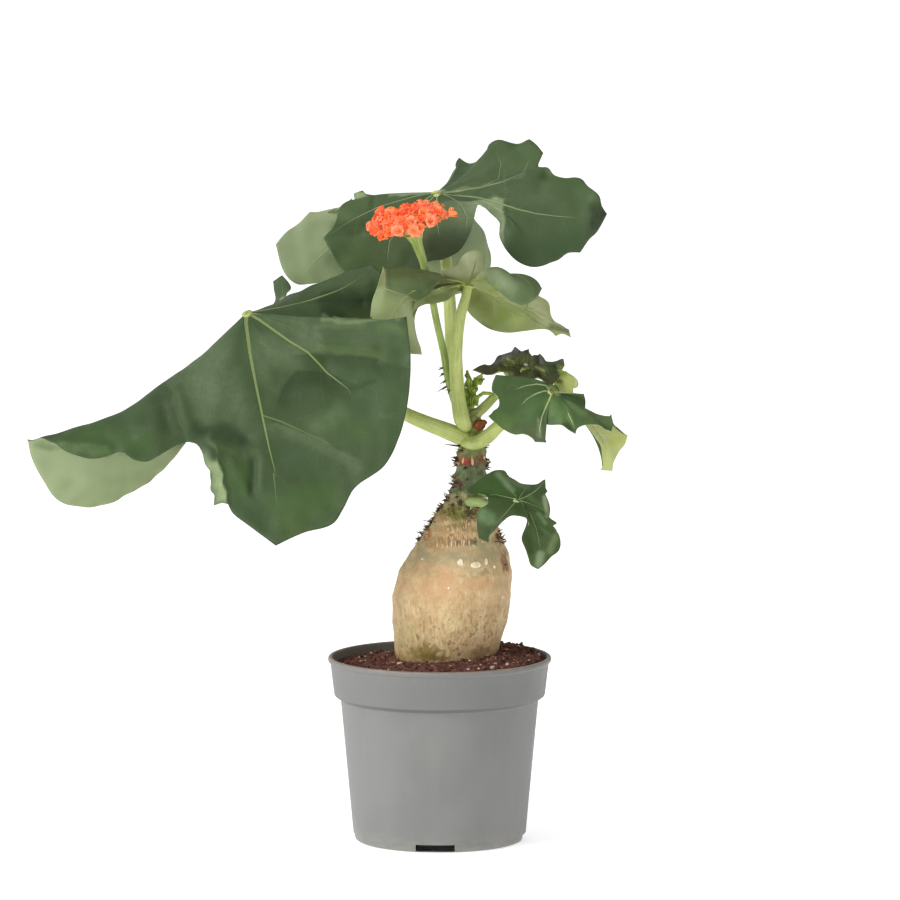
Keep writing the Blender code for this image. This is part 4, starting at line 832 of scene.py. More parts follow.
# What the tables of the blades say, with places as across, height as seen and, for the first two, depth:
# stalk_top: where the stalk ends. margin: a place of the outline, and for some a second place that their part of
# the blade is pulled towards on its way out from the stalk. tips: the margin's places where main veins end.
# pitch and rings: mesh fineness. ease: rounds of wide smoothing. puff: how far the tissue swells between the veins.
# wave: height of its slow waves. ruffle: height of the margin's waves. spacing: of the side veins. width: of a main
# vein at the stalk. net: how clearly the side veins show below. above: dark, light, flush and vein tones. below:
# dark, light and vein tones. veins: how faint (0 to 1), and the places that a main vein runs through from the
# stalk's end, or that a branch (over BRANCH) runs through. folds: a line from one place to another, its half width,
# and how far it stands towards the camera. Last come strokes laid over the colour: mostly painted shade in folds,
# creases and hollows and painted sheen and highlight, with some of the blade's own tones, such as a turned-up
# underside or a vein; each is a route, its half width, its tone and how strong it is. A width below 0 shades only
# the route's left side.
BLADES = {}
BLADES["leaf_big"] = {
    "stalk_top": (-103, 285.5, -22),
    "margin": (
        # far left lobe, front half
        (-220, 218, -30, -155, 237, -26), (-212, 217.4, -35, -153, 236, -32), (-205, 214.6, -40, -152, 234, -38),
        (-198, 210, -44, -150, 233, -42), (-190, 207.4, -47, -148, 233, -46), (-182, 206.8, -49, -145, 234, -48),
        (-175, 208.8, -50, -142, 235, -50), (-168.6, 209.8, -51, -141, 236, -50),
        (-163, 206.4, -52, -140, 237, -51), (-156, 205.2, -52, -138, 238, -52), (-151, 207.4, -52, -135, 240, -52),
        (-145, 211, -52, -130, 243, -51), (-136, 216.4, -50, -122, 250, -50),
        # bottom lobe
        (-129, 214.4, -53, -118, 257, -49.6), (-126, 210, -55, -116.8, 258.6, -49),
        (-124.6, 204, -57, -115.6, 259.4, -48.4), (-121.6, 199, -59, -114.6, 259.4, -48),
        (-121.8, 190, -60, -113.4, 259.4, -47.4), (-119.4, 186.6, -60.6, -112.4, 259.6, -47),
        (-120, 181.6, -61, -111.4, 259.8, -46.8), (-115.6, 183, -62, -110.2, 260.2, -46.8), (-112.4, 182.2, -62),
        (-110, 177.6, -63), (-103, 172, -64), (-87, 160, -66), (-72, 167, -66), (-57, 171.5, -65), (-51, 180, -63),
        (-45, 191, -61),
        # right lobe
        (-30, 202, -59), (-23.5, 213, -57), (-18, 230, -54), (-15.5, 250, -51), (-16, 268, -48),
        (-17.5, 283, -44, -52, 281, -41), (-27, 281, -42.5, -57, 281.6, -40), (-38, 282, -40, -63, 282.4, -38),
        (-47, 281.4, -35, -70, 283, -34), (-57, 283.5, -30, -78, 284, -28),
        # back right lobe
        (-54, 274, -20), (-40, 268, -14), (-22, 275, -9), (-25, 300, -3), (-36, 312, 0), (-50, 308.5, 4),
        (-64, 303, 8), (-76, 298, 12), (-86, 293, 14),
        # small back lobe
        (-80, 300, 30, -80, 284, 14), (-84, 306.5, 40, -82, 283, 18), (-90, 304, 44, -84, 282, 20),
        (-89, 295, 38, -87, 282, 16), (-98, 276, 28, -97, 279, 6),
        # far left lobe, back half
        (-116, 254, 22, -108, 270, 2), (-130, 230, 16, -118, 258, -2), (-141, 211, 11, -126, 248, -3),
        (-150, 200, 7, -131, 242, -6), (-163, 190, 2, -136, 238, -9), (-178, 183, -3, -140, 235, -12),
        (-191, 181, -8, -144, 234, -15), (-204, 184, -12, -148, 234, -18), (-211, 193, -17, -151, 235, -21),
        (-218, 207, -24, -154, 236, -24),
    ),
    "tips": ((-220, 218), (-36, 312), (-84, 306.5)),
    "pitch": 1.6, "rings": 80, "ease": 24, "puff": 1, "wave": 0.8, "ruffle": 0.7, "spacing": 26, "width": 2.3,
    "above": ("#374a29", "#435736", "#4d5e3c", "#82925c"),
    "below": ("#8d9b71", "#95a37a", "#a1af82"),
    "veins": (
        (0, ((-103.4, 280), (-101.2, 264), (-98, 247), (-94.4, 230), (-90.4, 211), (-87.5, 199.6), (-87.6, 194))),
        (0.2, ((-96, 281.4), (-90, 277), (-80, 269.8), (-70, 263.7), (-60, 253), (-49, 244.4), (-45.6, 238.4))),
        (0.3, ((-92, 285.6), (-80, 284.8), (-70, 284), (-60, 281.6))),
        (0.88, ((-94.4, 230), (-84, 226.6), (-72, 221), (-60, 215.4), (-47, 207))),
        (0.9, ((-88.4, 199), (-86.8, 184), (-86.6, 176))),
    ),
    "folds": (
        (-140, 244, -134, 226, 3.6, 1.8), (-147, 240, -143, 222, 4.5, -1.6), (-122, 220, -104, 219, 6.5, -2.6),
        (-109, 205, -104, 190, 3.4, 1.4), (-99, 207, -99, 189, 2.4, -1.4), (-94, 206, -95, 190, 3, 1),
        (-84, 250, -62, 252, 5, -1.6), (-60, 260, -34, 259, 4, -1.2), (-60, 266, -36, 265, 3, 1.2),
        (-72, 240, -46, 234, 8, 1.6), (-84, 220, -50, 204, 3, -0.9), (-85, 292, -42, 291, 2.6, -1.4),
        (-64, 298, -38, 302, 2.4, 1.2), (-200, 216, -176, 213, 2.4, 1),
    ),
    # Painted shade in the folds, creases and hollows and painted sheen, with the pale underside of the curled flap
    # at the lower left as the blade's own tone.
    "light_and_tone_strokes": (
        ((-126, 262), (-116, 236), 16, "#5e7050", 0.8),
        ((-135.5, 219), (-138, 225), (-141, 236), (-143.4, 244), -10, "#314122", 0.85),
        ((-118, 232), (-112, 228), 5, "#3d4f2e", 0.5),
        ((-128, 221.6), (-114, 222), (-104, 216), 4.6, "#24351b", 0.9),
        ((-122, 213), (-113, 212), (-108, 206.4), (-103, 207.6), (-98, 211), 1.7, "#4e5f3b", 0.65),
        ((-113, 202), (-109, 190), 3.6, "#395323", 0.75), ((-105, 203), (-103.4, 190), 2.8, "#4a642e", 0.7),
        ((-98.8, 206), (-98.6, 196), (-101, 189.4), 1.8, "#2b3f1f", 0.85),
        ((-94, 206), (-93, 186), 3.6, "#4a5c3b", 0.65),
        ((-111.4, 181), (-113.6, 195), (-116.6, 204.6), 1.4, "#2a3c1d", 0.8),
        ((-112.6, 180), (-115.2, 195), (-117.6, 205), -9, "#9fb082", 0.97),
        ((-130, 218), (-124, 213), (-119.5, 207.6), 2.8, "#34462a", 0.95),
        ((-94, 266), (-78, 262), 9, "#5f7050", 0.8), ((-93, 252), (-88, 246), 6, "#506240", 0.6),
        ((-98.6, 272), (-96, 262), 2.4, "#3f5529", 0.6), ((-92, 281), (-77, 277), 3.4, "#455c2e", 0.6),
        ((-57, 251.6), (-63, 254), (-70, 254.6), (-77, 253.6), (-82, 250), (-84.6, 242), -10, "#2b3c1d", 0.95),
        ((-24, 257), (-40, 261.4), (-57, 263.6), (-68, 263), -9, "#2f4220", 0.9),
        ((-67, 264), (-57, 264.6), (-40, 262.4), (-28, 258.6), -5.5, "#4e6436", 0.75),
        ((-72, 276), (-67, 270.6), 5, "#59694a", 0.75), ((-66, 278.8), (-40, 278.6), 2, "#556746", 0.7),
        ((-32, 277), (-20, 276), 2.8, "#556b3f", 0.75), ((-46, 245.8), (-34, 247.6), 1.4, "#304322", 0.75),
        ((-64, 225), (-54, 231.6), 5.5, "#5a6d48", 0.8), ((-30, 230.4), (-26, 230.4), 1.9, "#536e3c", 0.6),
        ((-46, 222), (-42, 220), 5, "#496230", 0.6),
        ((-47, 207.6), (-58, 214.6), (-72, 220.6), (-85, 225), -6.5, "#58694a", 0.85),
        ((-80, 206), (-62, 199), 7, "#3d5032", 0.6), ((-80, 181), (-62, 186), 9, "#45622d", 0.6),
        ((-84, 172), (-74, 170), 5, "#4c6332", 0.6), ((-102, 178), (-92, 167), 6, "#3f5235", 0.6),
        ((-24, 264), (-24, 226), 4, "#394f29", 0.55), ((-150, 238), (-147, 226), 5, "#324324", 0.8),
        ((-192, 220), (-160, 215), 8, "#3f5a2b", 0.7), ((-203, 213), (-178, 210.5), 2.2, "#566f3b", 0.5),
        ((-214, 215.6), (-208, 213), 2.2, "#566c3a", 0.5),
        ((-106, 283.2), (-118, 274), (-130, 265.2), (-143, 255), (-152, 247.6), 0.9, "#718056", 0.6),
        ((-62, 292), (-36, 293), 5, "#23371c", 0.85), ((-62, 286), (-52, 284), 3, "#283c1f", 0.8),
        ((-62, 282.4), (-50, 281), (-38, 281), (-22, 282), 1.3, "#71835a", 0.8),
        ((-62, 300), (-40, 303), 2.2, "#495b39", 0.7),
    ),
}
BLADES["leaf_top"] = {
    "stalk_top": (-1.5, 352, 35),
    "margin": (
        # front left lobe
        (-47, 348.5, 33), (-53.5, 344, 28), (-56.5, 334, 22), (-62.5, 327, 18), (-58, 318, 15), (-52, 309, 13),
        (-42, 303, 12), (-28, 300, 11), (-15, 304, 10), (-7, 313, 10),
        # front right lobe
        (3, 315.5, 9), (10, 319, 10), (15, 326, 13), (18, 335, 19), (19.5, 342, 26), (21, 346.5, 31),
        # right lobe
        (27, 341, 26, 30, 349, 34), (33, 335, 24, 42, 347, 32), (32, 329, 22, 50, 346, 30),
        (33, 325.6, 20.6, 52, 345.4, 29), (36, 320, 19, 53, 344, 27), (42, 314, 18, 54, 343, 26),
        (48.6, 311.2, 18, 54, 341, 26), (55, 311.4, 18, 54, 341, 26), (59.5, 313.4, 19, 54, 342, 26),
        (64, 315, 19.4, 53, 343, 26), (69, 318.8, 20, 52, 344, 27), (75.6, 319, 20.6, 51, 345, 27),
        (80.8, 326.6, 21.4, 49, 346, 27), (84.4, 330, 22, 48, 347, 28), (88.4, 336.6, 23, 47, 347, 29),
        (90, 339.9, 24, 46, 347, 29), (87.2, 344.6, 26, 45, 348, 30), (86, 349.6, 28, 44, 349, 31),
        (79.8, 355, 32, 42, 351, 33), (76, 359.6, 36, 42, 354, 35), (68, 359.8, 38, 38, 356, 38),
        (61.6, 361.6, 40, 34, 357, 40), (58.4, 365.6, 43, 32, 358, 42), (52.6, 365.4, 48, 26, 357, 46),
        # upper lobe
        (54.2, 369.4, 52, 28, 358, 49), (56, 373.6, 56, 28, 358, 51), (52.8, 378, 59, 27, 359, 53),
        (48.8, 381.4, 62, 26, 360, 54), (43, 380, 64, 24, 360, 55), (38, 380.4, 66, 22, 360, 56),
        (31.4, 381.8, 68, 18, 360, 58), (27, 379, 69, 15, 359, 59), (25.4, 372.6, 70, 14, 358, 60),
        (21, 370.2, 72, 12, 357, 60), (16.4, 368.8, 73.4), (12.8, 369.8, 74.6), (10.8, 371.8, 76), (8.6, 368.6, 75),
        (9, 365, 74), (11, 357.6, 72), (6, 354, 68),
        # back lobe, which hangs
        (16, 342, 74), (23, 331, 76), (27.5, 320, 74), (26.5, 309, 71), (17, 300, 68), (4, 297, 66), (-9, 303, 64),
        (-16, 322, 62), (-22, 341, 60, -12, 348, 50),
        # small tip at the back
        (-38, 348, 62, -18, 346, 48), (-42, 353.5, 60, -22, 346, 47), (-46.5, 352, 58, -24, 346, 46),
        (-45, 345, 55, -24, 345, 45),
        # back left lobe, which hangs
        (-42, 336, 54), (-47, 314, 50, -44, 338, 48), (-58, 305, 48, -48, 338, 46), (-68, 303, 47, -50, 338, 45),
        (-77, 302.5, 46, -52, 338, 45), (-84, 309, 45, -54, 338, 45), (-88.5, 324, 44, -54, 340, 45),
        (-83, 330.5, 44, -52, 342, 44), (-76, 335.5, 44, -46, 345, 43), (-70, 341.5, 45, -40, 348, 42),
        (-61, 341, 43),
    ),
    "tips": ((-62.5, 327), (10.8, 371.8), (4, 297), (-42, 353.5), (-77, 302.5)),
    "pitch": 1.8, "rings": 56, "puff": 0.9, "wave": 0.7, "ruffle": 0.6, "spacing": 18, "width": 1.5,
    "above": ("#3c5131", "#4d633a", "#596847", "#90a074"),
    "below": ("#899772", "#9ca981", "#b1bc94"),
    "veins": (
        (0.1, ((10, 352.6), (22, 354.6), (33, 357.8), (43, 362), (50, 372))),
        (0.7, ((22, 354.6), (31, 360), (33, 368), (30, 377))),
        (0.1, ((9, 350.8), (20, 349.2), (32, 346), (42, 342.6), (52, 340.2), (62, 338.8), (76, 337.6))),
        (0.5, ((-8, 344), (-20, 334), (-27, 325), (-28.6, 312))), (0.3, ((-1.6, 347), (-1.8, 338), (0, 326))),
        (0.35, ((-7, 348.4), (-12, 343), (-20, 336))),
        (0.45, ((6, 349.4), (11.6, 344.6), (14.6, 337.6), (13.6, 328))),
    ),
    "folds": (
        (-61, 326, -42, 328.6, 2.2, -1.3), (-52, 335, -40, 336, 4, -1), (-36, 348, -36, 338, 1.8, -0.7),
        (8, 350.4, 28, 348.8, 2.2, -1.1), (38, 354, 58, 352, 7, 1.1), (57, 362, 54, 354, 2.6, -1),
        (38, 338, 40, 322, 4, 0.8), (72, 350, 78, 330, 5, -0.8), (26, 366, 34, 378, 5, 1),
        (-74, 334, -70, 308, 5, 1),
    ),
    # Painted shade and sheen, with the pale underside of the folded flap on the right lobe as the blade's own tone.
    "light_and_tone_strokes": (
        ((-55, 331.6), (-40, 334), 5, "#2f4325", 0.7), ((-49, 344), (-42, 341), 4, "#465d39", 0.5),
        ((-36, 348), (-36, 339), 2, "#374a2b", 0.5), ((-30, 347.6), (-21, 347.2), 1.5, "#55634f", 0.7),
        ((-48, 352), (-42, 351.6), 3, "#a8b887", 0.97),
        ((-26, 350), (-12, 351.6), (2, 352.6), 0.9, "#8e9e74", 0.95), ((-8, 345), (4, 346.4), 3, "#566647", 0.5),
        ((-55, 318), (-42, 316), 7, "#415a32", 0.5), ((-4, 320), (8, 328), 7, "#4e5e45", 0.6),
        ((34.6, 333), (34.8, 348.6), (19, 347.6), -13, "#93a27c", 0.97),
        ((36.4, 333), (36.4, 346), 1.2, "#33452a", 0.6), ((21, 350), (29, 350), (36, 349.4), -3, "#3b4e33", 0.9),
        ((8, 352.4), (22, 354.4), (36, 358.4), (46, 361.6), 0.8, "#8c9b74", 0.6),
        ((24, 352), (44, 356), 4, "#566745", 0.6), ((44, 352), (62, 350), 7, "#566848", 0.5),
        ((56.6, 364), (56, 360), 2.2, "#37482e", 0.7), ((91, 343), (88.6, 338.4), (85, 333), 5.6, "#141813", 0.97),
        ((83, 343), (84, 337), 3.6, "#24301e", 0.8), ((76, 322), (83, 331), 2.4, "#33442a", 0.6),
        ((42, 322), (62, 319), 8, "#3b5130", 0.5), ((24, 366), (42, 362), 6, "#536947", 0.5),
        ((10.6, 371), (9.4, 365), 1.2, "#3b4339", 0.8), ((-84, 312), (-70, 306), 6, "#87976e", 0.5),
    ),
}
BLADES["leaf_middle"] = {
    "stalk_top": (15.5, 301, -6),
    "margin": (
        # front left lobe, which folds over towards the front
        (-29, 298, -37, -18, 313, -28), (-20, 294.5, -38, -14, 313, -30), (-12, 291, -38, -8, 311, -30),
        (-6, 295, -34, -4, 309, -26), (0, 303, -22, 4, 305, -16),
        # upper lobe
        (1, 308, -12), (8, 311, -8), (13, 317.5, -4), (19, 320, -2), (24.5, 318.5, -1), (24, 311, -3),
        (24.5, 304.5, -10),
        # right lobe, which folds over towards the front
        (28, 300, -24, 25, 312, -14), (38, 291.6, -30, 33, 321, -22), (42.4, 289.8, -30.5, 38, 324, -23),
        (46.6, 290.2, -30, 41, 317, -24), (51, 293, -28, 47, 315, -21), (54.8, 299, -20, 49, 313, -15),
        (53, 295, -8, 38, 300, -8),
        # lower right lobe, which hangs behind its stalk
        (58.5, 291, -4, 42, 298, -4), (60, 284, -2, 44, 294, -2), (65, 279, 0, 46, 292, 0),
        (69.4, 277, 1.6, 47, 291, 2), (70.4, 273, 2, 47, 291, 2), (66, 274.8, 3, 46, 290, 3),
        (62.4, 273.6, 4, 45, 290, 4), (59.4, 276.8, 5, 43, 290, 5), (55, 277.5, 6, 41, 291, 6),
        (46, 276.5, 8, 37, 293, 8), (36, 275.5, 9, 31, 296, 9), (27, 277.5, 10, 25, 300, 10),
        (20, 282, 10, 20, 303, 11), (14.5, 288, 9, 16, 304, 9), (11.5, 297, 2, 13, 304, 3),
        # lower left lobe
        (9, 297, -12, 11, 302, -10), (4, 292.5, -16, 7, 303, -13), (-3, 290.5, -20, 3, 303, -16),
        (-8, 290, -23, -2, 303, -20),
        # hanging left lobe
        (-15, 286.5, -26, -14, 301, -26), (-13, 274, -27, -20, 299, -29), (-9.5, 263, -27, -24, 297, -30),
        (-17, 264, -29, -27, 297, -31), (-27, 273, -31, -29, 298, -32), (-37, 283.5, -32, -30, 300, -32),
        (-36, 291, -32, -28, 303, -31), (-32.5, 301, -31, -22, 308, -27), (-30, 310, -30, -14, 312, -22),
    ),
    "tips": ((51, 293), (-27, 273)),
    "pitch": 1.1, "rings": 56, "puff": 0.7, "wave": 0.5, "ruffle": 0.4, "spacing": 12, "width": 1.5, "net": 0.26,
    "above": ("#4c6039", "#63764d", "#717d53", "#a8ae65"),
    "below": ("#86935d", "#a0aa72", "#abb165"),
    "veins": (
        (0, ((12.4, 301.6), (9.6, 302.7), (6.4, 303.1), (3.4, 302.7), (0.8, 300.4))),
        (0, ((21, 298.7), (28, 295.6), (35.2, 292.4), (42, 289.6), (49, 286.4), (57, 281), (63, 276.4))),
        (0.3, ((24, 296), (31, 291.4), (40, 286.6), (47, 283.4))), (0.1, ((19, 301.6), (25.8, 302.8))),
        (0.5, ((17, 306), (19, 312), (19.6, 317))),
    ),
    "folds": (
        (-30, 312, -28.4, 300, 1.5, 0.7), (-22, 302, -8, 304, 3, 0.8), (-8, 297, 8, 298, 3, -1.2),
        (33, 303, 46, 300, 4, 0.6), (22, 291, 30, 283, 3, 0.7), (45, 288, 51, 280, 1.6, -0.7),
        (60, 279, 68, 275.6, 1, -0.6),
    ),
    # Painted shade and sheen, mixed with the blade's own pale and olive tones.
    "light_and_tone_strokes": (
        ((15.6, 316), (20, 309), 5.6, "#c4cfa4", 0.9), ((3, 309), (11, 308.6), 3.4, "#a9b18a", 0.8),
        ((13, 304), (22, 304.6), 2.4, "#8a934c", 0.64), ((4.6, 298.4), (11.6, 299.4), 2.3, "#4a5218", 0.81),
        ((-7, 300), (3, 302.6), 2.3, "#4e5425", 0.68), ((-6, 292), (3, 293.4), 2.8, "#556229", 0.68),
        ((-23, 300), (-12, 303), 5.4, "#5e7047", 0.59), ((-30.4, 311.4), (-29, 302), 1.3, "#968f67", 0.72),
        ((-34.4, 284), (-31.4, 297), 2.6, "#a9b78a", 0.8), ((-27, 284), (-24, 292), 5, "#8b9a6d", 0.75),
        ((1, 294), (8, 293.4), 2.8, "#74844a", 0.6), ((-18, 292), (-17, 284), 2.6, "#a3ae88", 0.8),
        ((-14.4, 280), (-12, 268), 2.2, "#9ba484", 0.77), ((30, 304.4), (38, 300), 5, "#83926f", 0.7),
        ((43, 295), (50, 297), 4.6, "#566c44", 0.68), ((27, 297.4), (31, 299), 1.8, "#7b893b", 0.68),
        ((20, 293), (25, 288), 4.6, "#707a38", 0.77), ((30, 281), (34, 286), 4.4, "#7a893b", 0.72),
        ((40, 280.6), (43, 283), 3.4, "#99a660", 0.77), ((52, 290), (57, 282), 3.8, "#a8aa86", 0.77),
        ((23, 280.4), (28, 276.8), 1.2, "#626b40", 0.59), ((60, 278.6), (69, 276), 1.4, "#5c6150", 0.85),
    ),
}
BLADES["leaf_right"] = {
    "stalk_top": (60.5, 243, -14),
    "margin": (
        # left lobe
        (56, 248.6, -9), (48, 250.6, -11), (38, 251.6, -14), (30, 252.2, -16), (28.2, 247.4, -18),
        (28.4, 243.4, -20), (31.6, 240.2, -21), (31.8, 235.6, -22), (29.6, 232.6, -23), (26, 230, -24),
        (28, 227.8, -25), (34.4, 222.6, -27), (40, 219.9, -28), (45.4, 219.8, -29), (49.2, 218, -29.5),
        (51, 215.8, -30), (57.2, 215.6, -30), (55.3, 218.4, -29), (56, 220.6, -28), (54.4, 222, -27),
        (54.2, 226, -24),
        # right lobe, front half
        (58.6, 225.2, -26), (65, 225.1, -28), (68.6, 222.6, -29), (72.6, 220.2, -30), (73.6, 223, -29),
        (77.6, 225, -28, 72, 231, -25), (84, 224.8, -27, 76, 230.6, -24), (88, 222.4, -26, 84, 230.6, -23),
        (91.6, 221.4, -24, 80, 227.6, -23), (92.8, 226, -22, 80, 228, -21), (91.8, 230.8, -19, 80, 229, -18),
        (92.6, 227, -15.4, 84, 227.4, -16),
        # right lobe, end that hangs behind
        (96, 222, -15, 94, 226, -17), (100.8, 219.4, -12, 94, 224, -15), (99.4, 214.6, -11, 94, 223.4, -14),
        (96, 210.2, -11, 93, 223, -13), (93.2, 204.8, -12, 92, 223, -13), (92.6, 200.4, -12, 90.4, 223, -12),
        (86.4, 200.9, -12, 86, 223, -12), (88.2, 204.2, -12, 84, 223.6, -11), (88.2, 209.4, -11, 82, 225, -11),
        (86.8, 215, -9, 80, 228, -11), (83, 220.4, -7, 78, 232, -10), (80, 226, -6, 75, 234, -10),
        # right lobe, upper edge
        (78, 234.4, -7), (78.2, 238.6, -8.6), (77.2, 242.1, -10), (72.6, 242, -8.6), (70.8, 240.4, -8),
        (66, 241.4, -5), (62.6, 246, -3),
    ),
    "tips": ((92.6, 200.4), (77.2, 242.1)),
    "pitch": 1.1, "rings": 46, "puff": 0.8, "wave": 0.5, "ruffle": 0.5, "spacing": 11, "width": 1.3,
    "above": ("#435e32", "#5a7044", "#646c4d", "#adbc89"),
    "below": ("#97a259", "#b6bd7c", "#c3c784"),
    "veins": (
        (0.1, ((57, 246.6), (52, 247.2), (46, 246.3), (39.6, 244))),
        (0.25, ((56, 243.4), (51, 241.8), (46.6, 239), (43, 235))),
        (0, ((59, 239.6), (56.8, 234.6), (54.4, 229.4), (53.4, 223), (53.8, 217.6))),
        (0.7, ((68.6, 231.4), (70.6, 227.4), (72.6, 222))),
    ),
    "folds": (
        (53.8, 230, 53.6, 219, 1.4, 0.5), (56.6, 233, 56.2, 227, 1.8, -0.4), (70, 230.6, 72.6, 223.6, 1.2, 0.4),
        (67.6, 229, 71, 223, 1.6, -0.4), (42, 229, 38, 224, 3, 0.4), (50, 236, 46, 224, 3, -0.3),
        (34, 248, 34, 238, 3, 0.3), (78, 232, 78, 226, 2, -0.3),
    ),
    # Painted shade and sheen, with some of the blade's own tones.
    "light_and_tone_strokes": (
        ((32, 248), (46, 249), 4, "#466434", 0.45), ((44, 229), (50, 236), 4.4, "#5f7a4b", 0.45),
        ((44, 222), (51, 221), 2.6, "#5f664b", 0.64), ((52.4, 219), (55, 217), 2.2, "#5d5f52", 0.68),
        ((30, 229), (38, 226), 3.4, "#5a7433", 0.56), ((53.2, 228), (53.5, 219), 1.1, "#7c8d66", 0.64),
        ((60, 236), (66, 229), 4.6, "#66854a", 0.6), ((67.8, 226), (71.6, 222), 1.7, "#3d422a", 0.71),
        ((70, 236), (76, 232.6), 3.6, "#728a58", 0.6), ((80, 229.4), (91, 227), 2.2, "#5d6b42", 0.6),
        ((66, 226), (70, 223), 1.2, "#2f3a1c", 0.7), ((82, 223), (88, 216), 2, "#a2a782", 0.68),
        ((92, 216), (99, 218.4), 2.3, "#a7b053", 0.68), ((90, 211), (90.4, 203), 1.9, "#bbc27c", 0.68),
        ((59.4, 245.6), (63.4, 241.8), 1.2, "#a7b864", 0.75),
    ),
}
BLADES["leaf_young"] = {
    "stalk_top": (46, 256, 4),
    "margin": (
        (17.6, 255.4, 4), (22, 253.4, 3), (26, 252.2, 2), (30, 252.6, 0), (33, 253.4, -1), (36, 251.8, -1),
        (40, 250.4, -2), (44, 250.2, -2), (49.6, 250, -2), (53, 251, -2), (57.5, 248.2, -1),
        (60.4, 247, 0, 54, 256, 0),
        # pale end, which hangs behind
        (67.4, 255, 2, 58, 258, 2), (70.2, 252.6, 3, 61, 257, 3), (73.4, 250.4, 4, 62, 257, 3),
        (74.6, 247.6, 4, 62, 257, 3), (73.8, 245.8, 4.4, 63, 256, 4), (72, 245.2, 5, 63, 256, 4),
        (71.6, 240.2, 5, 63, 255, 5), (66, 240.8, 5, 62, 255, 5), (62.6, 244.4, 5.5, 61, 255, 6),
        (62, 248.4, 6, 58, 257, 7),
        # upper edge with its points
        (67.2, 257.6, 7), (66.6, 260.7, 9), (62, 259.6, 9.5), (57, 259.8, 10), (56, 261.8, 11.5), (54, 264.2, 13),
        (51.6, 263, 12.5), (49, 261.6, 12), (48.4, 263.8, 13), (48.2, 266.9, 14), (46, 266.4, 14),
        (44.2, 265.3, 13.5), (40.6, 267.7, 15), (39.4, 264.2, 14), (35.6, 264, 13), (31.4, 262.8, 12),
        (29.4, 260, 10), (26.6, 257, 8), (24.4, 258.2, 7), (21.6, 257.2, 6),
    ),
    "tips": ((71.6, 240.2), (54, 264.2), (48.2, 266.9), (29.4, 260)),
    "pitch": 0.9, "rings": 40, "puff": 0.7, "wave": 0.9, "ruffle": 1, "spacing": 7, "width": 0.6,
    "above": ("#444b29", "#606a3f", "#58524a", "#8d965b"),
    "below": ("#8a9651", "#bbc375", "#dae193"),
    "veins": (
        (0.3, ((50, 256.6), (56, 253), (60, 250))), (0.5, ((42, 259), (41.6, 263.6))),
        (0.5, ((40, 256), (33, 257.6), (25, 255))),
    ),
    "folds": (
        (38, 262, 40, 253, 1.3, 1.9), (43, 264, 43.6, 253, 1.2, -1.8), (50, 262, 50, 252, 1.2, 1.7),
        (53, 262, 54, 252, 1.2, -1.8), (57, 258, 60, 251, 1.3, 1.2), (33, 262, 34, 254, 1.3, -1.5),
        (62, 259, 64, 250, 1.2, -1.1), (28, 258, 29, 253, 1.2, 0.9),
    ),
    # Painted shade and sheen, a small white painted glint, and some of the blade's own tones.
    "light_and_tone_strokes": (
        ((40.4, 266.4), (42.4, 263.6), 1.1, "#75727c", 0.9), ((46, 266), (47.6, 264), 1.2, "#3b3944", 0.9),
        ((52, 262.6), (56, 261), 1.5, "#5a5d57", 0.9), ((60, 258.8), (66, 259), 1.8, "#4a523f", 0.9),
        ((29.6, 259), (35, 262), (39, 262.4), 1.4, "#7b797c", 0.85),
        ((19.4, 253), (22.6, 252), 1.8, "#8a9a45", 0.9), ((37, 256), (46, 255), 3.6, "#333819", 0.8),
        ((36, 258.6), (44, 260), 1.8, "#6b7431", 0.7), ((32, 255.2), (38, 253), 1.2, "#6d7632", 0.7),
        ((36.6, 261.4), (38, 260.4), 0.5, "#b4b77e", 0.9), ((39.4, 259.8), (40.2, 258.6), 0.5, "#aab076", 0.9),
        ((34.8, 258.4), (36, 257.4), 0.5, "#a7ac70", 0.8), ((53.6, 262.4), (55.4, 259), 1, "#74757a", 0.8),
        ((46, 254), (57, 252), 2.6, "#353f1d", 0.8), ((59, 254), (65, 256), 2.4, "#33431f", 0.8),
        ((46.2, 257.8), (46.5, 257.6), 0.7, "#ffffff", 1), ((40.6, 260), (42.6, 262.6), 0.7, "#7c8148", 0.9),
        ((51.6, 257), (56, 254.4), 0.8, "#909b5c", 0.9), ((65, 255.6), (67, 253), 1.8, "#94a54b", 0.9),
        ((68, 249), (71, 243), 2.8, "#bbc375", 0.9), ((73.6, 248.6), (73, 246.4), 0.9, "#c6cb91", 0.9),
        ((63.4, 245.4), (66.4, 243.4), 1.4, "#a0a075", 0.85), ((62, 250), (65.6, 248.6), 1.2, "#4a5221", 0.9),
        ((34.6, 252.8), (36, 252.4), 0.8, "#b8c786", 0.95), ((39.6, 251), (41, 250.6), 0.6, "#adbb7b", 0.9),
    ),
}
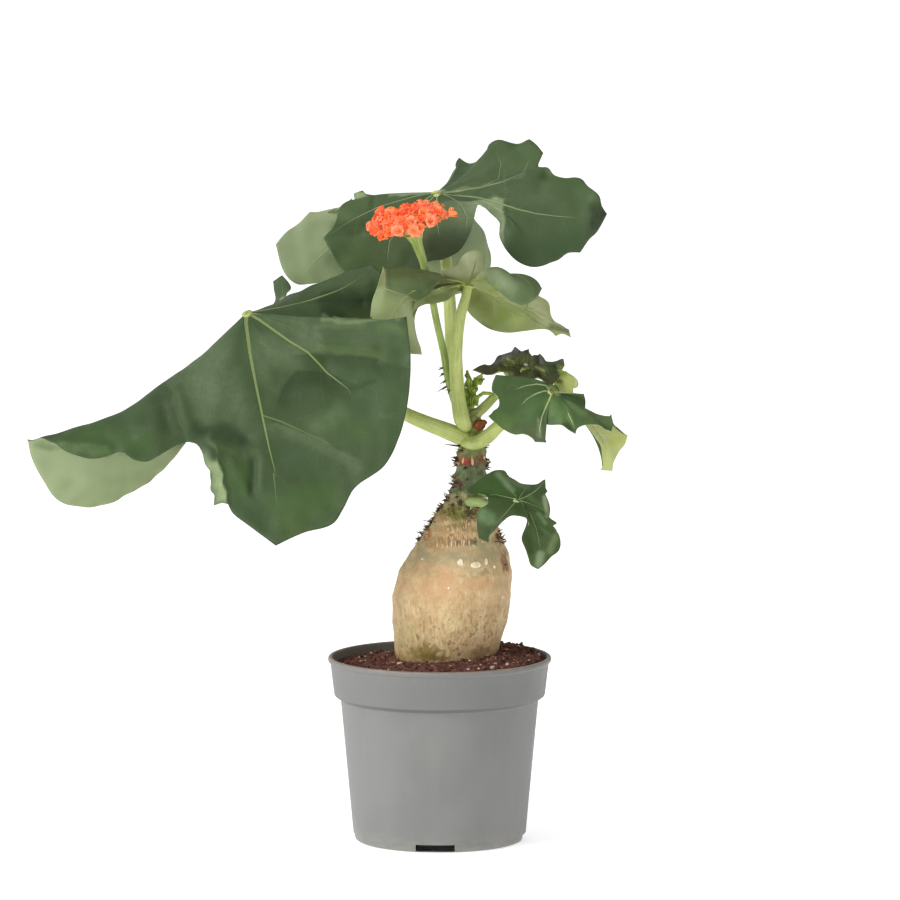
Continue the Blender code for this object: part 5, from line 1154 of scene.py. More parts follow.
BLADES["leaf_low"] = {
    "stalk_top": (42, 184.8, -24),
    "margin": (
        # left lobe
        (43.4, 193.8, -21), (40, 195.8, -21.4), (37, 197.4, -22), (36, 199.2, -22), (34.4, 200.6, -22),
        (30, 200.8, -23), (26.4, 199.2, -24), (22, 196.4, -25), (17.6, 191.8, -26), (15.2, 188, -27),
        (20, 188, -27), (24.6, 187.2, -27), (26.4, 184.4, -27),
        # lower left lobe
        (25.6, 182, -27.6, 32, 183, -27), (22.4, 180.4, -28, 31, 183, -27), (20.4, 176.6, -29, 31, 183, -27),
        (20.1, 169.8, -30, 30, 182, -28), (20.9, 164, -31, 30, 181, -29), (26, 162, -32, 31, 180, -29),
        (27, 165.4, -32, 32, 180, -29), (30.6, 169.8, -31.4, 34, 181, -28), (34, 173.6, -31, 36, 181, -28),
        (38.4, 176.1, -29.5),
        # lower right lobe
        (43, 175.8, -29), (46.4, 175.2, -29, 46, 181, -27), (48, 172, -30, 48, 180, -28),
        (46.8, 168.8, -30.5, 49.6, 178.6, -28.6), (44.6, 166.8, -31, 50, 178, -29),
        (43.9, 163.4, -32, 51, 177, -29), (46, 158, -33, 51, 176, -29), (47.6, 152.6, -33.6, 52, 176, -29),
        (48.8, 149.4, -34, 52, 176, -29), (52.6, 147.2, -34, 52, 176, -29), (56, 149.8, -33.4, 52, 176, -28),
        (60, 154.2, -32, 52, 176, -28), (63.4, 156.8, -31, 53, 177, -27), (64.8, 160.4, -29.6, 53, 178, -26),
        (63.8, 166, -28, 53, 179, -25), (60.2, 170.4, -26.6, 53, 180, -25), (62.8, 172, -26, 53, 180, -25),
        (58.9, 175, -24, 52, 181, -25),
        # right lobe
        (59, 180, -22), (57.6, 185.4, -21), (56, 188, -20.4), (57.8, 189.4, -20.2), (56.2, 192.4, -20),
        (56.8, 195.8, -20), (53, 193.1, -19), (48.2, 193, -19.6),
    ),
    "tips": ((56.8, 195.8),),
    "pitch": 1, "rings": 44, "puff": 0.8, "wave": 0.5, "ruffle": 0.5, "spacing": 11, "width": 0.6,
    "above": ("#32491e", "#48612d", "#4b523a", "#8ea474"),
    "below": ("#6c8547", "#899e5c", "#acb978"),
    "veins": (
        (0.15, ((37, 185.9), (30, 187.6), (22, 187))), (0.4, ((38, 180.4), (35, 176.8), (29, 171))),
        (0.4, ((45, 181.6), (48.4, 177), (52, 168), (54, 156))), (0.4, ((47, 183), (53, 180.4), (57.6, 178))),
        (0.5, ((44, 188), (46.6, 192))), (0.6, ((38, 190), (33, 196))),
    ),
    "folds": (
        (32, 198, 39, 190, 1.8, 0.3), (40, 192, 48, 191, 1.6, -0.3), (56, 186, 57, 176, 1.6, 0.4),
        (53, 186, 54, 176, 1.8, -0.3), (24, 178, 24, 168, 3, 0.4), (41, 182, 44, 177, 2.4, -0.3),
        (54, 170, 62, 165, 1.2, 0.4), (58, 171.6, 61.6, 168, 1, -0.3), (52.6, 158, 53, 149, 2.4, 0.4),
        (48, 166, 50, 156, 2.2, -0.3),
    ),
    # Painted shade and painted highlights along the folds and edges, with some of the blade's own tones.
    "light_and_tone_strokes": (
        ((22, 191), (34, 191), 5, "#365a1c", 0.5), ((31, 198.6), (39, 190), 1.6, "#7b9070", 0.6),
        ((37, 195.6), (47, 191.6), 2, "#666e53", 0.44), ((50, 190), (56, 188.6), 2, "#37432a", 0.6),
        ((56.4, 186), (57.9, 176), 1.2, "#93a27c", 0.75), ((22.4, 177), (27, 174), 3.6, "#7c9a6c", 0.6),
        ((41, 181), (45.4, 178), 2.6, "#2c4314", 0.7), ((46, 165), (49.6, 158), 3, "#283a18", 0.65),
        ((54, 155), (53, 149.4), 2.2, "#93a482", 0.75), ((59, 157), (62.4, 165), 2, "#7d9060", 0.6),
        ((48, 186), (54, 181), 1.8, "#4f6b3c", 0.7), ((52.6, 177), (56.4, 172), 1.2, "#6f8a5e", 0.7),
        ((51, 172), (54.6, 166), 1.6, "#263b17", 0.7),
    ),
}


def smooth_share(value, low, high):
    """0 below low, 1 above high, and smooth between."""
    share = np.clip((value - low) / (high - low), 0.0, 1.0)
    return share * share * (3.0 - 2.0 * share)


def soft_noise(places, size, seed):
    """Smooth noise at a list of places, with waves of about this size."""
    shift = Vector((seed * 3.1, seed * 1.7, seed * 5.3))
    return np.array([noise.noise(Vector(place) / size + shift) for place in places])


def view_of(place):
    """Where points show in the camera's view: across, and height as seen."""
    return np.stack([place[..., 0], place[..., 2] + place[..., 1] * SIGHT_SLOPE], axis=-1)


def line_distance(view, first, last):
    """How far each point of the view lies from a line between two places."""
    start, way = np.array(first, float), np.array(last, float) - np.array(first, float)
    share = np.clip((view - start) @ way / (way @ way + 1e-9), 0.0, 1.0)
    return np.linalg.norm(view - start - share[..., None] * way, axis=-1)


def sheet_facing(place):
    """The way that each point of a sheet faces, towards its upper side."""
    outward = np.gradient(place, axis=0)
    sideways = np.roll(place, -1, axis=1) - np.roll(place, 1, axis=1)
    facing = np.cross(outward, sideways)
    facing /= np.linalg.norm(facing, axis=2)[:, :, None] + 1e-12
    facing[0] = facing[1].mean(axis=0)
    return facing


def blade_sheet(looks):
    """A blade's points by ring and spoke, folded, and the spoke of each tip."""
    centre = seen(looks["stalk_top"])
    margin = [seen(row[:3]) for row in looks["margin"]]
    guides = []
    for row, point in zip(looks["margin"], margin):
        away = point - centre
        level = Vector((away.x * LEVEL_REACH, away.y * LEVEL_REACH, away.z * LEVEL_DROP))
        guides.append(seen(row[3:]) if len(row) > 3 else centre + level)
    ends = margin[1:] + margin[:1]
    counts = [max(2, round((b - a).length / looks["pitch"])) for a, b in zip(margin, ends)]
    rim = np.array(smooth_points(margin, counts, closed=True, corner=SHARP_TURN))
    pull = np.array(smooth_points(guides, counts, closed=True))
    starts = [sum(counts[:i]) for i in range(len(counts))]
    keys = {row[:2]: start for row, start in zip(looks["margin"], starts)}
    share = np.linspace(0.0, 1.0, looks["rings"] + 1)[:, None, None]
    place = np.array(centre) * (1 - share) ** 2 + pull * 2 * share * (1 - share) + rim * share**2
    for stride, fade in [(5, 1.0)] * looks.get("ease", 0) + [(1, 0.0)] * EASING_ROUNDS:
        beside = (np.roll(place, stride, axis=1) + np.roll(place, -stride, axis=1))[1:-1] / 2
        inline = (place[:-2] + place[2:]) / 2
        ease = 0.5 * (1.0 - fade * share[1:-1] ** 2)
        place[1:-1] += ease * ((beside + inline) / 2 - place[1:-1])
    sight = np.array((0.0, -1.0, SIGHT_SLOPE))
    view = view_of(place)
    for *line, width, push in looks["folds"]:
        rise = push * np.exp(-((line_distance(view, line[:2], line[2:]) / width) ** 2))
        place = place + sight * rise[..., None]
    return place, [keys[tip] for tip in looks["tips"]]


def on_sheet(place, route):
    """The path on a blade that shows along this route, on the blade's front where it lies in layers."""
    view = view_of(place).reshape(-1, 2)
    depth = place[..., 1].reshape(-1)
    spots = [np.array(spot, float) for spot in route]
    path = []
    for here, there in zip(spots, spots[1:]):
        steps = max(1, round(float(np.linalg.norm(there - here)) / 3.0))
        path += [here + (there - here) * step / steps for step in range(steps)]
    path.append(spots[-1])
    made = []
    for spot in path:
        off = np.linalg.norm(view - spot, axis=1)
        near = np.where(off < off.min() + 2.2)[0]
        near = near[depth[near] < depth[near].min() + 3.0]
        weight = 1.0 / (off[near] ** 2 + 0.02)
        made.append(np.array(seen((spot[0], spot[1], float((depth[near] * weight).sum() / weight.sum())))))
    return made


def vein_measures(place, looks, tips):
    """For each point and main vein: how far along and aside it lies, and how far out in shares of the vein."""
    facing = sheet_facing(place)
    hub = view_of(place[0, 0])
    routes = [(faint, route if faint > BRANCH else (hub, *route)) for faint, route in looks["veins"]]
    paths = [(faint, on_sheet(place, route)) for faint, route in routes]
    paths += [(0.62, [place[ring, tip] for ring in range(0, len(place), 4)]) for tip in tips]
    along, aside, run, apart = [], [], [], []
    for faint, path in paths:
        best = np.full(place.shape[:2], np.inf)
        far_along, far_aside = np.zeros_like(best), np.zeros_like(best)
        gone = 0.0
        for start, end in zip(path, path[1:]):
            way = end - start
            length = float(np.linalg.norm(way)) + 1e-9
            share = np.clip((place - start) @ way / length**2, 0.0, 1.0)
            off = place - start - share[..., None] * way
            whole = np.linalg.norm(off, axis=-1)
            flat = off - (off * facing).sum(axis=-1)[..., None] * facing
            side = np.sign((np.cross(facing, way) * off).sum(axis=-1)) * np.linalg.norm(flat, axis=-1)
            closer = whole < best
            best = np.where(closer, whole, best)
            far_along = np.where(closer, gone + share * length, far_along)
            far_aside = np.where(closer, side, far_aside)
            gone += length
        along.append(far_along)
        aside.append(far_aside)
        run.append(faint + (1.0 - faint) * far_along / gone)
        apart.append(best)
    return np.array(along), np.array(aside), np.array(run), np.array(apart)


def shade_at(view, route, width):
    """How much of a shade lies on each point: soft to both sides of its route, or only on the left of it."""
    best, left = np.full(view.shape[:-1], np.inf), np.zeros(view.shape[:-1])
    for first, last in zip(route, route[1:]):
        away = line_distance(view, first, last)
        way, off = np.subtract(last, first), view - np.array(first, float)
        side = (way[0] * off[..., 1] - way[1] * off[..., 0]) / np.hypot(*way)
        left = np.where(away < best, side, left)
        best = np.minimum(away, best)
    if width > 0.0:
        return np.exp(-((best / width) ** 3))
    return np.exp(-((best / width) ** 2)) * smooth_share(left, -0.7, 0.5)


def painted_light_and_tone(view, light_and_tone_strokes):
    """The tone that a blade's strokes of painted shade, sheen and own tone lay on each point, and how strongly."""
    tone, cover = np.zeros((*view.shape[:-1], 3)), np.zeros(view.shape[:-1])
    for *route, width, colour, strength in light_and_tone_strokes:
        here = strength * shade_at(view, route, width)
        tone = tone * (1.0 - here[..., None]) + np.array(paint(colour)[:3]) * here[..., None]
        cover = cover + here - cover * here
    return np.concatenate([tone / (cover[..., None] + 1e-6), cover[..., None]], axis=-1)


def waved(place, looks, measures, seed):
    """Gives a blade its slow waves, the swelling between its veins and a ruffled margin, along its own normals."""
    along, aside, run, apart = measures
    nearest = apart.argmin(axis=0)[None]
    off = np.take_along_axis(apart, nearest, axis=0)[0]
    steps = np.linalg.norm(np.diff(place, axis=0), axis=2)
    length = np.vstack([np.zeros(place.shape[1]), np.cumsum(steps, axis=0)])
    spots = place.reshape(-1, 3)
    shape = off.shape
    slow = soft_noise(spots, 30.0, seed).reshape(shape) * looks["wave"] * 2.0
    quick = soft_noise(spots, 10.0, seed + 3).reshape(shape) * looks["wave"] * 0.6
    edge = soft_noise(spots, 8.0, seed + 7).reshape(shape) * looks["ruffle"] * 2.0
    grow = smooth_share(length, 6.0, 40.0)
    share = np.linspace(0.0, 1.0, shape[0])[:, None]
    puff = looks["puff"] * smooth_share(off, 0.0, 9.0) * (1.0 - 0.6 * share) * smooth_share(length, 2.0, 14.0)
    rise = (slow + quick) * grow + puff * (1.0 - share**3) + edge * share**5
    return place + sheet_facing(place) * rise[:, :, None]


def blade_mesh(place, flat_view, looks, measures):
    """The blade as an open sheet with its vein maps and its strokes of painted shade, sheen and own tone, faces to
    the upper side.
    """
    along, aside, run, apart = measures
    rings, spokes = place.shape[0] - 1, place.shape[1]
    by_face = apart[:, :-1] + apart[:, 1:]
    by_face = by_face + np.roll(by_face, -1, axis=2)
    owner = by_face.argmin(axis=0)
    spots = place.reshape(-1, 3)
    shaken = np.stack([soft_noise(spots, 7.0, 1.0), soft_noise(spots, 7.0, 2.0)], axis=-1).reshape(flat_view.shape)
    # The strokes of painted shade and sheen and of the blade's own tones, placed by where each point shows in the
    # view.
    tones = painted_light_and_tone(flat_view + shaken * looks["width"], looks["light_and_tone_strokes"])
    turned = sheet_facing(place) @ np.array((0.0, -1.0, SIGHT_SLOPE))
    work = bmesh.new()
    bmesh.ops.create_grid(work, x_segments=rings, y_segments=spokes, size=0.5)
    veins = work.loops.layers.uv.new("veins")
    reach = work.loops.layers.uv.new("reach")
    light_and_tone = work.verts.layers.float_color.new("light_and_tone")
    to_front = work.verts.layers.float.new("to front")
    spot_of = {v: (round((v.co.x + 0.5) * rings), round((v.co.y + 0.5) * spokes)) for v in work.verts}
    for face in work.faces:
        spots = [spot_of[loop.vert] for loop in face.loops]
        vein = owner[min(ring for ring, _ in spots)][min(spoke for _, spoke in spots)]
        for loop, (ring, spoke) in zip(face.loops, spots):
            here = (vein, ring, spoke % spokes)
            loop[veins].uv = (along[here] * MM, aside[here] * MM)
            loop[reach].uv = (run[here], ring / rings)
    for vertex, (ring, spoke) in spot_of.items():
        vertex[light_and_tone] = tones[ring][spoke % spokes]
        vertex[to_front] = turned[ring][spoke % spokes]
        vertex.co = Vector(place[ring][spoke % spokes]) * MM
    weld(work, 0.004)
    return work


def vein_share(coat, width, spacing):
    """Where the main veins and the side veins run on a blade, and how far out each spot is."""
    layout = coat.split(coat.add("UVMap", uv_map="veins").outputs[0])
    run, out, _ = coat.split(coat.add("UVMap", uv_map="reach").outputs[0])
    along, away = [coat.times(part, 1000.0) for part in layout[:2]]
    side = coat.maths("ABSOLUTE", away)
    half = coat.maths("MULTIPLY_ADD", run, -0.36 * width, 0.46 * width)
    main = coat.ramped(coat.maths("SUBTRACT", side, half), 0.26, -0.16)
    main = coat.times(main, coat.ramped(run, 1.0, 0.84))
    bend = coat.times(coat.maths("POWER", side, 2.0), 0.0045)
    slant = coat.maths("SUBTRACT", along, coat.maths("MULTIPLY_ADD", side, 0.95, bend))
    step = coat.maths("DIVIDE", slant, spacing)
    step = coat.maths("MULTIPLY_ADD", coat.maths("GREATER_THAN", away, 0.0), 0.46, step)
    near = coat.maths("ABSOLUTE", coat.maths("SUBTRACT", coat.maths("FRACT", step), 0.5))
    gap = coat.times(coat.maths("SUBTRACT", 0.5, near), spacing * 0.72)
    thin = coat.maths("MULTIPLY_ADD", side, -0.2 * width / spacing, 0.2 * width)
    thin = coat.maths("MAXIMUM", thin, 0.08)
    feather = coat.ramped(coat.maths("SUBTRACT", gap, thin), 0.34, -0.1)
    feather = coat.times(feather, coat.ramped(out, 0.98, 0.7))
    feather = coat.times(feather, coat.ramped(along, 0.25 * spacing, 0.9 * spacing))
    return main, feather, out


def lay_light_and_tone_strokes(coat, upper):
    """Lays a blade's soft strokes of painted shade and sheen and of its own tones, with slightly broken edges,
    mostly on the face that is turned to the front.
    """
    light_and_tone = coat.add("Attribute", attribute_name="light_and_tone").outputs
    to_front = coat.add("Attribute", attribute_name="to front").outputs["Fac"]
    cover = coat.times(light_and_tone["Alpha"], coat.grain(3, 0.8, 1.0))
    coat.lay(cover, light_and_tone["Color"], coat.ramped(to_front, -0.3 * upper, -0.05 * upper, 0.15, 1.0))
    return to_front


def upper_finish(name, looks):
    """The upper side: dark blue-green, softly mottled and waxy, with thin pale sunken veins and a dusky margin."""
    coat = Finish(name, 0.5, 0.24)
    dark, light, flush, vein = looks["above"]
    main, feather, out = vein_share(coat, looks["width"], looks["spacing"])
    quick = coat.grain(5, detail=4, rough=0.55)
    coat.tone = coat.mix(coat.grain((34, 34, 26), detail=1), dark, light)
    coat.lay(coat.grain((44, 44, 30), 0.0, 0.4, detail=2), flush)
    # Strokes of painted shade and sheen, with some of the blade's own tones, laid mostly where this side faces the
    # front.
    lay_light_and_tone_strokes(coat, 1.0)
    coat.lay(quick, dark, 0.16)
    coat.lay(feather, vein, 0.035)
    coat.lay(main, vein, 0.85)
    coat.lay(coat.ramped(out, 0.975, 1.0, 0.0, 0.4), flush)
    coat.bump(main, -0.4)
    coat.bump(feather, -0.04)
    coat.bump(coat.grain(1.1), 0.05)
    return coat.done(coat.ramped(quick, 0.0, 1.0, 0.46, 0.58))


def under_finish(name, looks):
    """The underside: pale grey-green and matt, with raised veins."""
    coat = Finish(name, 0.62, 0.25)
    dark, light, vein = looks["below"]
    main, feather, _ = vein_share(coat, looks["width"] * 1.15, looks["spacing"])
    coat.tone = coat.mix(coat.grain(30, detail=1), dark, light)
    # Strokes of painted shade and sheen, with some of the blade's own tones, laid mostly where this side faces the
    # front.
    to_front = lay_light_and_tone_strokes(coat, -1.0)
    coat.lay(feather, vein, coat.ramped(to_front, 0.05, 0.3, looks.get("net", 0.08), 0.34))
    coat.lay(main, vein, 0.8)
    coat.bump(main, 0.5)
    coat.bump(feather, 0.06)
    return coat.done()


def rim_finish(name, looks):
    """The cut edge of the blade: a thin line, paler than the upper side."""
    coat = Finish(name, 0.5)
    coat.tone = coat.mix(coat.grain(6), looks["above"][2], looks["below"][1])
    return coat.done()


def thicken(piece, thickness):
    """Gives an open sheet its thickness, half to each side."""
    wall = piece.modifiers.new("wall", "SOLIDIFY")
    wall.thickness = thickness * MM
    wall.offset = 0.0
    return wall


for seed, (name, looks) in enumerate(BLADES.items()):
    folded, tips = blade_sheet(looks)
    measures = vein_measures(folded, looks, tips)
    work = blade_mesh(waved(folded, looks, measures, seed * 11 + 5), view_of(folded), looks, measures)
    finishes = [upper_finish(f"{name} above", looks), under_finish(f"{name} below", looks)]
    finishes.append(rim_finish(f"{name} rim", looks))
    wall = thicken(place_piece(f"{name}_blade", work, finishes, name), BLADE_THICKNESS)
    wall.material_offset = 1
    wall.material_offset_rim = 2


# Flower stalk. A slender green stalk with a few dark scales low down. At its top it widens and forks into short
# fleshy rays, green turning orange, and they fork again under the flowers.

FLOWER_STALK = (
    (14, 1.4, 226, 2.4), (9, 0.6, 236, 2.3), (4.6, -0.2, 251, 2.1), (2.2, -1.4, 265, 2), (-1.4, -4.4, 281, 1.9),
    (-5, -9, 300, 1.9), (-9, -13.6, 316, 2.2), (-12.2, -16.6, 326, 3), (-13.6, -17.6, 331, 5.2),
)
HEAD_CENTRE = Vector((-16.2, -18.0, 335.4))
HEAD_TILT = Vector((-0.22, -0.18, 1.0)).normalized()
HEAD_RADIUS = 20.5
HEAD_DOME = 6.0
PETAL_THICKNESS = 0.22
FLORETS = 58
GOLDEN_TURN = math.radians(137.508)
STALK_SCALES = (
    # height up the stalk, turn round it in degrees, length
    (256, 205, 6), (253.5, 180, 5), (250, 215, 6.5), (247, 190, 7), (245.5, 235, 5),
)

across = Vector((1.0, 0.0, 0.0))
across = (across - HEAD_TILT * across.dot(HEAD_TILT)).normalized()
head_frame = Matrix((across, HEAD_TILT.cross(across), HEAD_TILT)).transposed()
flower_green = stalk_finish("flower stalk green", "#7a943a", "#9cb84c")
flower_line = stalk_line(FLOWER_STALK, STALK_STEP)
grow_stalk("flower_stalk_skin", flower_line, 24, flower_green, "flower_stalk")

flower_dice = random.Random(23)
scales = bmesh.new()
for height, turn, length in STALK_SCALES:
    for low, high in zip(FLOWER_STALK, FLOWER_STALK[1:]):
        if low[2] <= height <= high[2]:
            seat = Vector(low[:3]).lerp(Vector(high[:3]), (height - low[2]) / (high[2] - low[2]))
    angle = math.radians(turn)
    out = Vector((math.cos(angle), math.sin(angle), flower_dice.uniform(-0.6, 0.3))).normalized()
    thorn(scales, seat, out, length, 0.9, -0.3, flower_dice, 6)
    for _ in range(2):
        twig = (out + Vector([flower_dice.uniform(-0.6, 0.6) for _ in range(3)])).normalized()
        thorn(scales, seat + out * 1.6, twig, length * 0.5, 0.45, -0.2, flower_dice)
seal(scales)
dusky_green = scale_finish("dusky green scales", "#3a4634", "#7a8862")
place_piece("flower_stalk_scales", scales, dusky_green)


# Flower head. Some fifty small coral flowers in a flat cluster. Each has a short stem, a cup of tiny sepals and
# five blunt petals, and round its middle stand stamens with orange-yellow pollen sacs. Closed buds sit between
# them.


def floret_seats():
    """Where each flower sits on the head, which way it faces, how open it is and how far it is twisted."""
    for i in range(FLORETS):
        share = math.sqrt((i + 0.5) / FLORETS)
        turn = GOLDEN_TURN * i
        rise = HEAD_DOME * math.sqrt(1.0 - 0.97 * share**2) + flower_dice.uniform(-2.6, 1.6)
        spread = HEAD_RADIUS * share * (1.0 + 0.09 * math.sin(3.0 * turn + 0.6)) + flower_dice.uniform(-1.0, 1.0)
        flat = level_way(turn) * spread
        seat = HEAD_CENTRE + head_frame @ (flat + Vector((0.0, 0.0, rise)))
        lean = Vector([flower_dice.uniform(-0.55, 0.55) for _ in range(3)])
        facing = (head_frame @ (flat * 0.062 + Vector((0.0, 0.0, 1.0))) + lean).normalized()
        yield seat, facing, flower_dice.uniform(0.1, 0.9), flower_dice.uniform(0.0, math.tau)


def petal(work, seat, swing, turn, opened, size):
    """One blunt petal: narrow at its foot, broad and slightly cupped, and bent back at its end."""
    rows, columns = 6, 7
    aim = Matrix.Rotation(turn, 3, "Z")

    def petal_place(column, row):
        far, side = column / columns, row / rows * 2.0 - 1.0
        wide = size * (0.16 + 0.34 * math.sin(min(1.0, far * 1.12) * math.pi / 2) ** 1.4)
        wide *= math.sqrt(max(0.0, 1.0 - far**5))
        reach = size * (0.16 + 0.95 * far) * (0.45 + 0.55 * opened) - 0.22 * size * side**2 * far
        lift = size * ((1.15 - 0.75 * opened) * far - (0.35 + 0.5 * opened) * far**3 + 0.14 * side**2 * far)
        crinkle = 0.09 * size * math.sin(side * 4.0 + turn * 3.0) * far
        return seat + swing @ (aim @ Vector((reach, side * wide, lift + crinkle)))

    mapped_grid(work, columns, rows, petal_place)


def shaded(work, first, value):
    """Marks the vertices made since the first one with how orange they are."""
    work.verts.ensure_lookup_table()
    layer = work.verts.layers.float.get("warmth") or work.verts.layers.float.new("warmth")
    for vertex in work.verts[first:]:
        vertex[layer] = value


petals, middles, stems = bmesh.new(), bmesh.new(), bmesh.new()
petals.verts.layers.float.new("warmth")
joint = HEAD_CENTRE - HEAD_TILT * 4.6
forks = []
for i in range(9):
    turn = math.tau * i / 9 + 0.2
    flat = level_way(turn) * HEAD_RADIUS * (0.62 if i % 2 else 0.42)
    fork = HEAD_CENTRE + head_frame @ (flat + Vector((0.0, 0.0, -0.2)))
    middle = joint.lerp(fork, 0.5) - HEAD_TILT * 0.8
    grow_tube(stems, [(joint, 1.7), (middle, 1.35), (fork, 1.15)], 10)
    forks.append(fork)
for i, (seat, facing, opened, twist) in enumerate(floret_seats()):
    swing = facing.to_track_quat("Z", "Y").to_matrix() @ Matrix.Rotation(twist, 3, "Z")
    size = flower_dice.uniform(4.6, 6.0)
    warmth = flower_dice.random()
    first = len(petals.verts)
    for k in range(5):
        spread = min(1.0, max(0.0, opened + flower_dice.uniform(-0.25, 0.25)))
        around = math.tau * k / 5 + flower_dice.uniform(-0.25, 0.25)
        petal(petals, seat, swing, around, spread, size * flower_dice.uniform(0.8, 1.1))
    shaded(petals, first, warmth)
    nearest = min(forks, key=lambda fork: (fork - seat).length)
    foot = seat - facing * 2.4
    knee = nearest.lerp(foot, 0.6) - HEAD_TILT * 0.5
    cup = [(foot, 0.6), (seat - facing * 0.4, 0.95), (seat, 0.7)]
    grow_tube(stems, [(nearest, 0.8), (knee, 0.62), *cup], 8)
    for k in range(7):
        turn = math.tau * k / 7 + 0.3
        lean = level_way(turn) * (0.0 if k == 6 else 0.55)
        top = seat + swing @ (lean * 1.5 + Vector((0.0, 0.0, 2.3)))
        grow_tube(middles, [(seat, 0.14), (top, 0.12)], 4)
        sac = bmesh.ops.create_icosphere(middles, subdivisions=1, radius=0.75)["verts"]
        for corner in sac:
            corner.co = (top + swing @ Vector((corner.co.x * 0.36, corner.co.y * 0.36, corner.co.z * 0.6))) * MM
for i in range(16):
    turn, share = flower_dice.uniform(0.0, math.tau), math.sqrt(flower_dice.uniform(0.05, 0.95))
    flat = level_way(turn) * HEAD_RADIUS * share * 0.95
    rise = HEAD_DOME * math.sqrt(1.0 - 0.97 * share**2)
    seat = HEAD_CENTRE + head_frame @ (flat + Vector((0.0, 0.0, rise)))
    facing = (head_frame @ (flat * 0.05 + Vector((0.0, 0.0, 1.0)))).normalized()
    top = seat + facing * flower_dice.uniform(1.5, 3.0)
    grow_tube(stems, [(seat - facing * 2.5, 0.5), (top - facing * 1.2, 0.5)], 6)
    first = len(petals.verts)
    bud = ((-1.6, 0.35), (-1.0, 0.8), (0.0, 0.95), (1.0, 0.6), (1.5, 0.1))
    grow_tube(petals, [(top + facing * ahead, radius) for ahead, radius in bud], 10)
    shaded(petals, first, flower_dice.random() * 0.5)


def petal_finish():
    """Waxy coral petals, pinkish coral to orange-red, each flower its own tone, with a painted glow for light let
    through.
    """
    coat = Finish("coral petals", 0.5, 0.4)
    warmth = coat.add("Attribute", attribute_name="warmth").outputs["Fac"]
    fine = coat.grain(1.4)
    coat.tone = coat.mix(coat.ramped(warmth, 0.2, 0.8), "#fd7246", "#ff9f76")
    coat.lay(coat.ramped(warmth, 0.82, 1.0, 0.0, 0.7), "#ff9a3a")
    coat.lay(fine, "#f2562c", 0.25)
    # Painted glow: the petals give off a faint light of their own tone, standing in for light let through them.
    coat.shader.inputs["Emission Strength"].default_value = 0.2
    coat.tree.links.new(coat.tone, coat.shader.inputs["Emission Color"])
    coat.bump(fine, 0.08)
    return coat.done()


def plain_finish(name, dark, light, size):
    """Fleshy tissue mottled between two tones."""
    coat = Finish(name, 0.5, 0.4)
    spots = coat.grain(size)
    coat.tone = coat.mix(spots, dark, light)
    coat.bump(spots, 0.05)
    return coat.done()


weld(petals, 0.002)
seal(middles)
seal(stems)
thicken(place_piece("coral_petals", petals, petal_finish(), "flower_head"), PETAL_THICKNESS)
pollen = plain_finish("orange pollen sacs", "#f0852e", "#f9a640", 0.8)
place_piece("stamens", middles, pollen)
ray_tone = plain_finish("green and orange rays", "#a9a24c", "#d98a52", 3)
place_piece("flower_rays", stems, ray_tone)


# Young shoot. The stem's tip: a tight bunch of small folded leaves, yellow-green with dusky edges, wrapped at
# the foot by pale fringed scales. They grow from the tip of the trunk, among the leaf stalks.

SHOOT_THICKNESS = 0.45
SHOOT_LEAVES = (
    # foot as seen with its depth, turn and lean in degrees, length, width
    ((16.4, 233, -1.6), 200, 16, 15, 6), ((16.6, 234, -2.2), 250, 6, 17, 6), ((17.6, 235, -1), 160, 8, 19, 5.6),
    ((17.2, 234, -2.4), 300, 14, 12, 5), ((17.4, 235, 0.6), 60, 12, 16, 5), ((16, 245, -1.4), 0, 42, 11, 6.4),
    ((17, 246, -0.4), 340, 58, 9, 5.6), ((15.4, 243, -1.8), 190, 4, 12, 5.4),
)
SHOOT_ARCH = (
    # a leaf stalk that bends over: place and radius
    ((19.6, 236, -1), 1), ((20.4, 240.4, -1), 0.9), ((23.4, 242.6, -1.2), 0.85), ((27, 242.4, -1), 0.8),
    ((30.6, 240.6, 0.4), 0.7),
)


def shoot_leaf(work, foot, turn, lean, length, wide):
    """A young leaf folded along its middle, with a waved margin and a drawn-out tip."""
    swing = Matrix.Rotation(math.radians(turn + 90.0), 3, "Z") @ Matrix.Rotation(math.radians(lean), 3, "X")
    rows, columns = 10, 18

    def leaf_place(column, row):
        far, side = column / columns, row / rows * 2.0 - 1.0
        half = wide * 0.5 * (math.sin(math.pi * min(1.0, far * 1.04 + 0.02)) ** 0.7 if far < 0.96 else 0.0)
        wave = 0.6 * math.sin(far * 15.0 + side * 2.0 + turn) * abs(side) ** 2
        fold = half * abs(side) * 0.9
        bow = length * 0.14 * math.sin(far * math.pi)
        return seen(foot) + swing @ Vector((side * half * 0.8 + wave, -fold + bow + wave, far * length))

    mapped_grid(work, columns, rows, leaf_place)


work = bmesh.new()
for foot, turn, lean, length, wide in SHOOT_LEAVES:
    shoot_leaf(work, foot, turn, lean, length, wide)
grow_tube(work, [(seen(spot), radius) for spot, radius in SHOOT_ARCH], 10)
weld(work, 0.002)
young_green = plain_finish("young shoot green", "#6f822e", "#a8bd50", 3)
thicken(place_piece("young_shoot", work, young_green, "shoot"), SHOOT_THICKNESS)

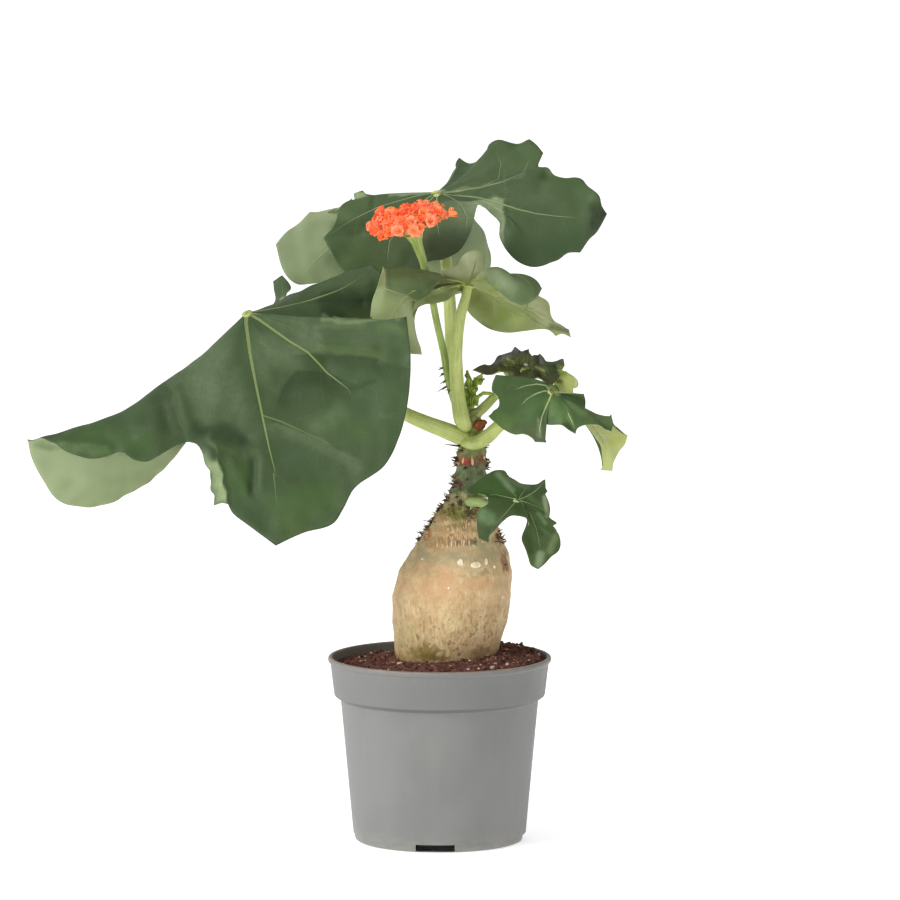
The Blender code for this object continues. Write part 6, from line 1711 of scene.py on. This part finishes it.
fringes = bmesh.new()
for i in range(26):
    turn = math.tau * i / 26 + flower_dice.uniform(-0.1, 0.1)
    out = level_way(turn)
    foot = Vector((18.0, 0.4, 229.5 + flower_dice.uniform(-2.0, 2.5))) + out * 3.4
    aim = (out * flower_dice.uniform(0.3, 1.0) + Vector((0.0, 0.0, 1.0))).normalized()
    thorn(fringes, foot, aim, flower_dice.uniform(3.0, 6.0), 0.4, 0.2, flower_dice)
seal(fringes)
fringe_tone = plain_finish("pale fringed scales", "#8c8a5c", "#d8d0a4", 2)
place_piece("shoot_scales", fringes, fringe_tone)


# Studio. A plain white floor that glows evenly, with its glow turned off under the pot as a painted shadow, and a
# bright white sky that is dimmer on the right, with one broad soft lamp high on the left in front and a weaker one
# on the right.


def soft_lamp(name, place, size, power, tone="#ffffff"):
    """A broad square lamp that faces the middle of the plant."""
    data = bpy.data.lights.new(name, "AREA")
    data.shape = "SQUARE"
    data.size = size
    data.energy = power
    data.color = paint(tone)[:3]
    lamp = put(name, data)
    lamp.location = place
    lamp.rotation_euler = (Vector((0.0, 0.0, 0.2)) - Vector(place)).to_track_quat("-Z", "Y").to_euler()


soft_lamp("key lamp", (-2.5, -1.9, 2.1), 1.4, 76.0)
soft_lamp("fill lamp", (2.2, -1.6, 1.0), 1.6, 1.5)

sky = bpy.data.worlds.new("white studio")
sky.use_nodes = True
dome = Nodes(sky.node_tree)
seen_directly = dome.add("LightPath").outputs["Is Camera Ray"]
sky_light = dome.tree.nodes["Background"]
sky_light.inputs["Color"].default_value = (1.0, 1.0, 1.0, 1.0)
sideways = dome.split(dome.add("TexCoord").outputs["Generated"])[0]
softer = dome.ramped(sideways, -0.7, 0.9, 0.62, 0.4)
dome.tree.links.new(dome.ramped(seen_directly, 0.0, 1.0, softer, 1.0), sky_light.inputs["Strength"])
bpy.context.scene.world = sky
bpy.context.scene.view_settings.view_transform = "Standard"

POT_SHADE = (0.04, 0.0448)
work = bmesh.new()
bmesh.ops.create_grid(work, x_segments=2, y_segments=2, size=6.0)
floor = put("floor", work)
coat = Finish("white floor", 0.9, 0.0)
coat.shader.inputs["Base Color"].default_value = (0.92, 0.92, 0.92, 1.0)
coat.shader.inputs["Emission Color"].default_value = (1.0, 1.0, 1.0, 1.0)
# Painted shadow: the floor's glow fades to nothing within the pot's foot, so it is dark under the pot.
glow = coat.ramped(coat.length(coat.place), *POT_SHADE, 0.0, 0.62)
coat.tree.links.new(glow, coat.shader.inputs["Emission Strength"])
floor.data.materials.append(coat.done())
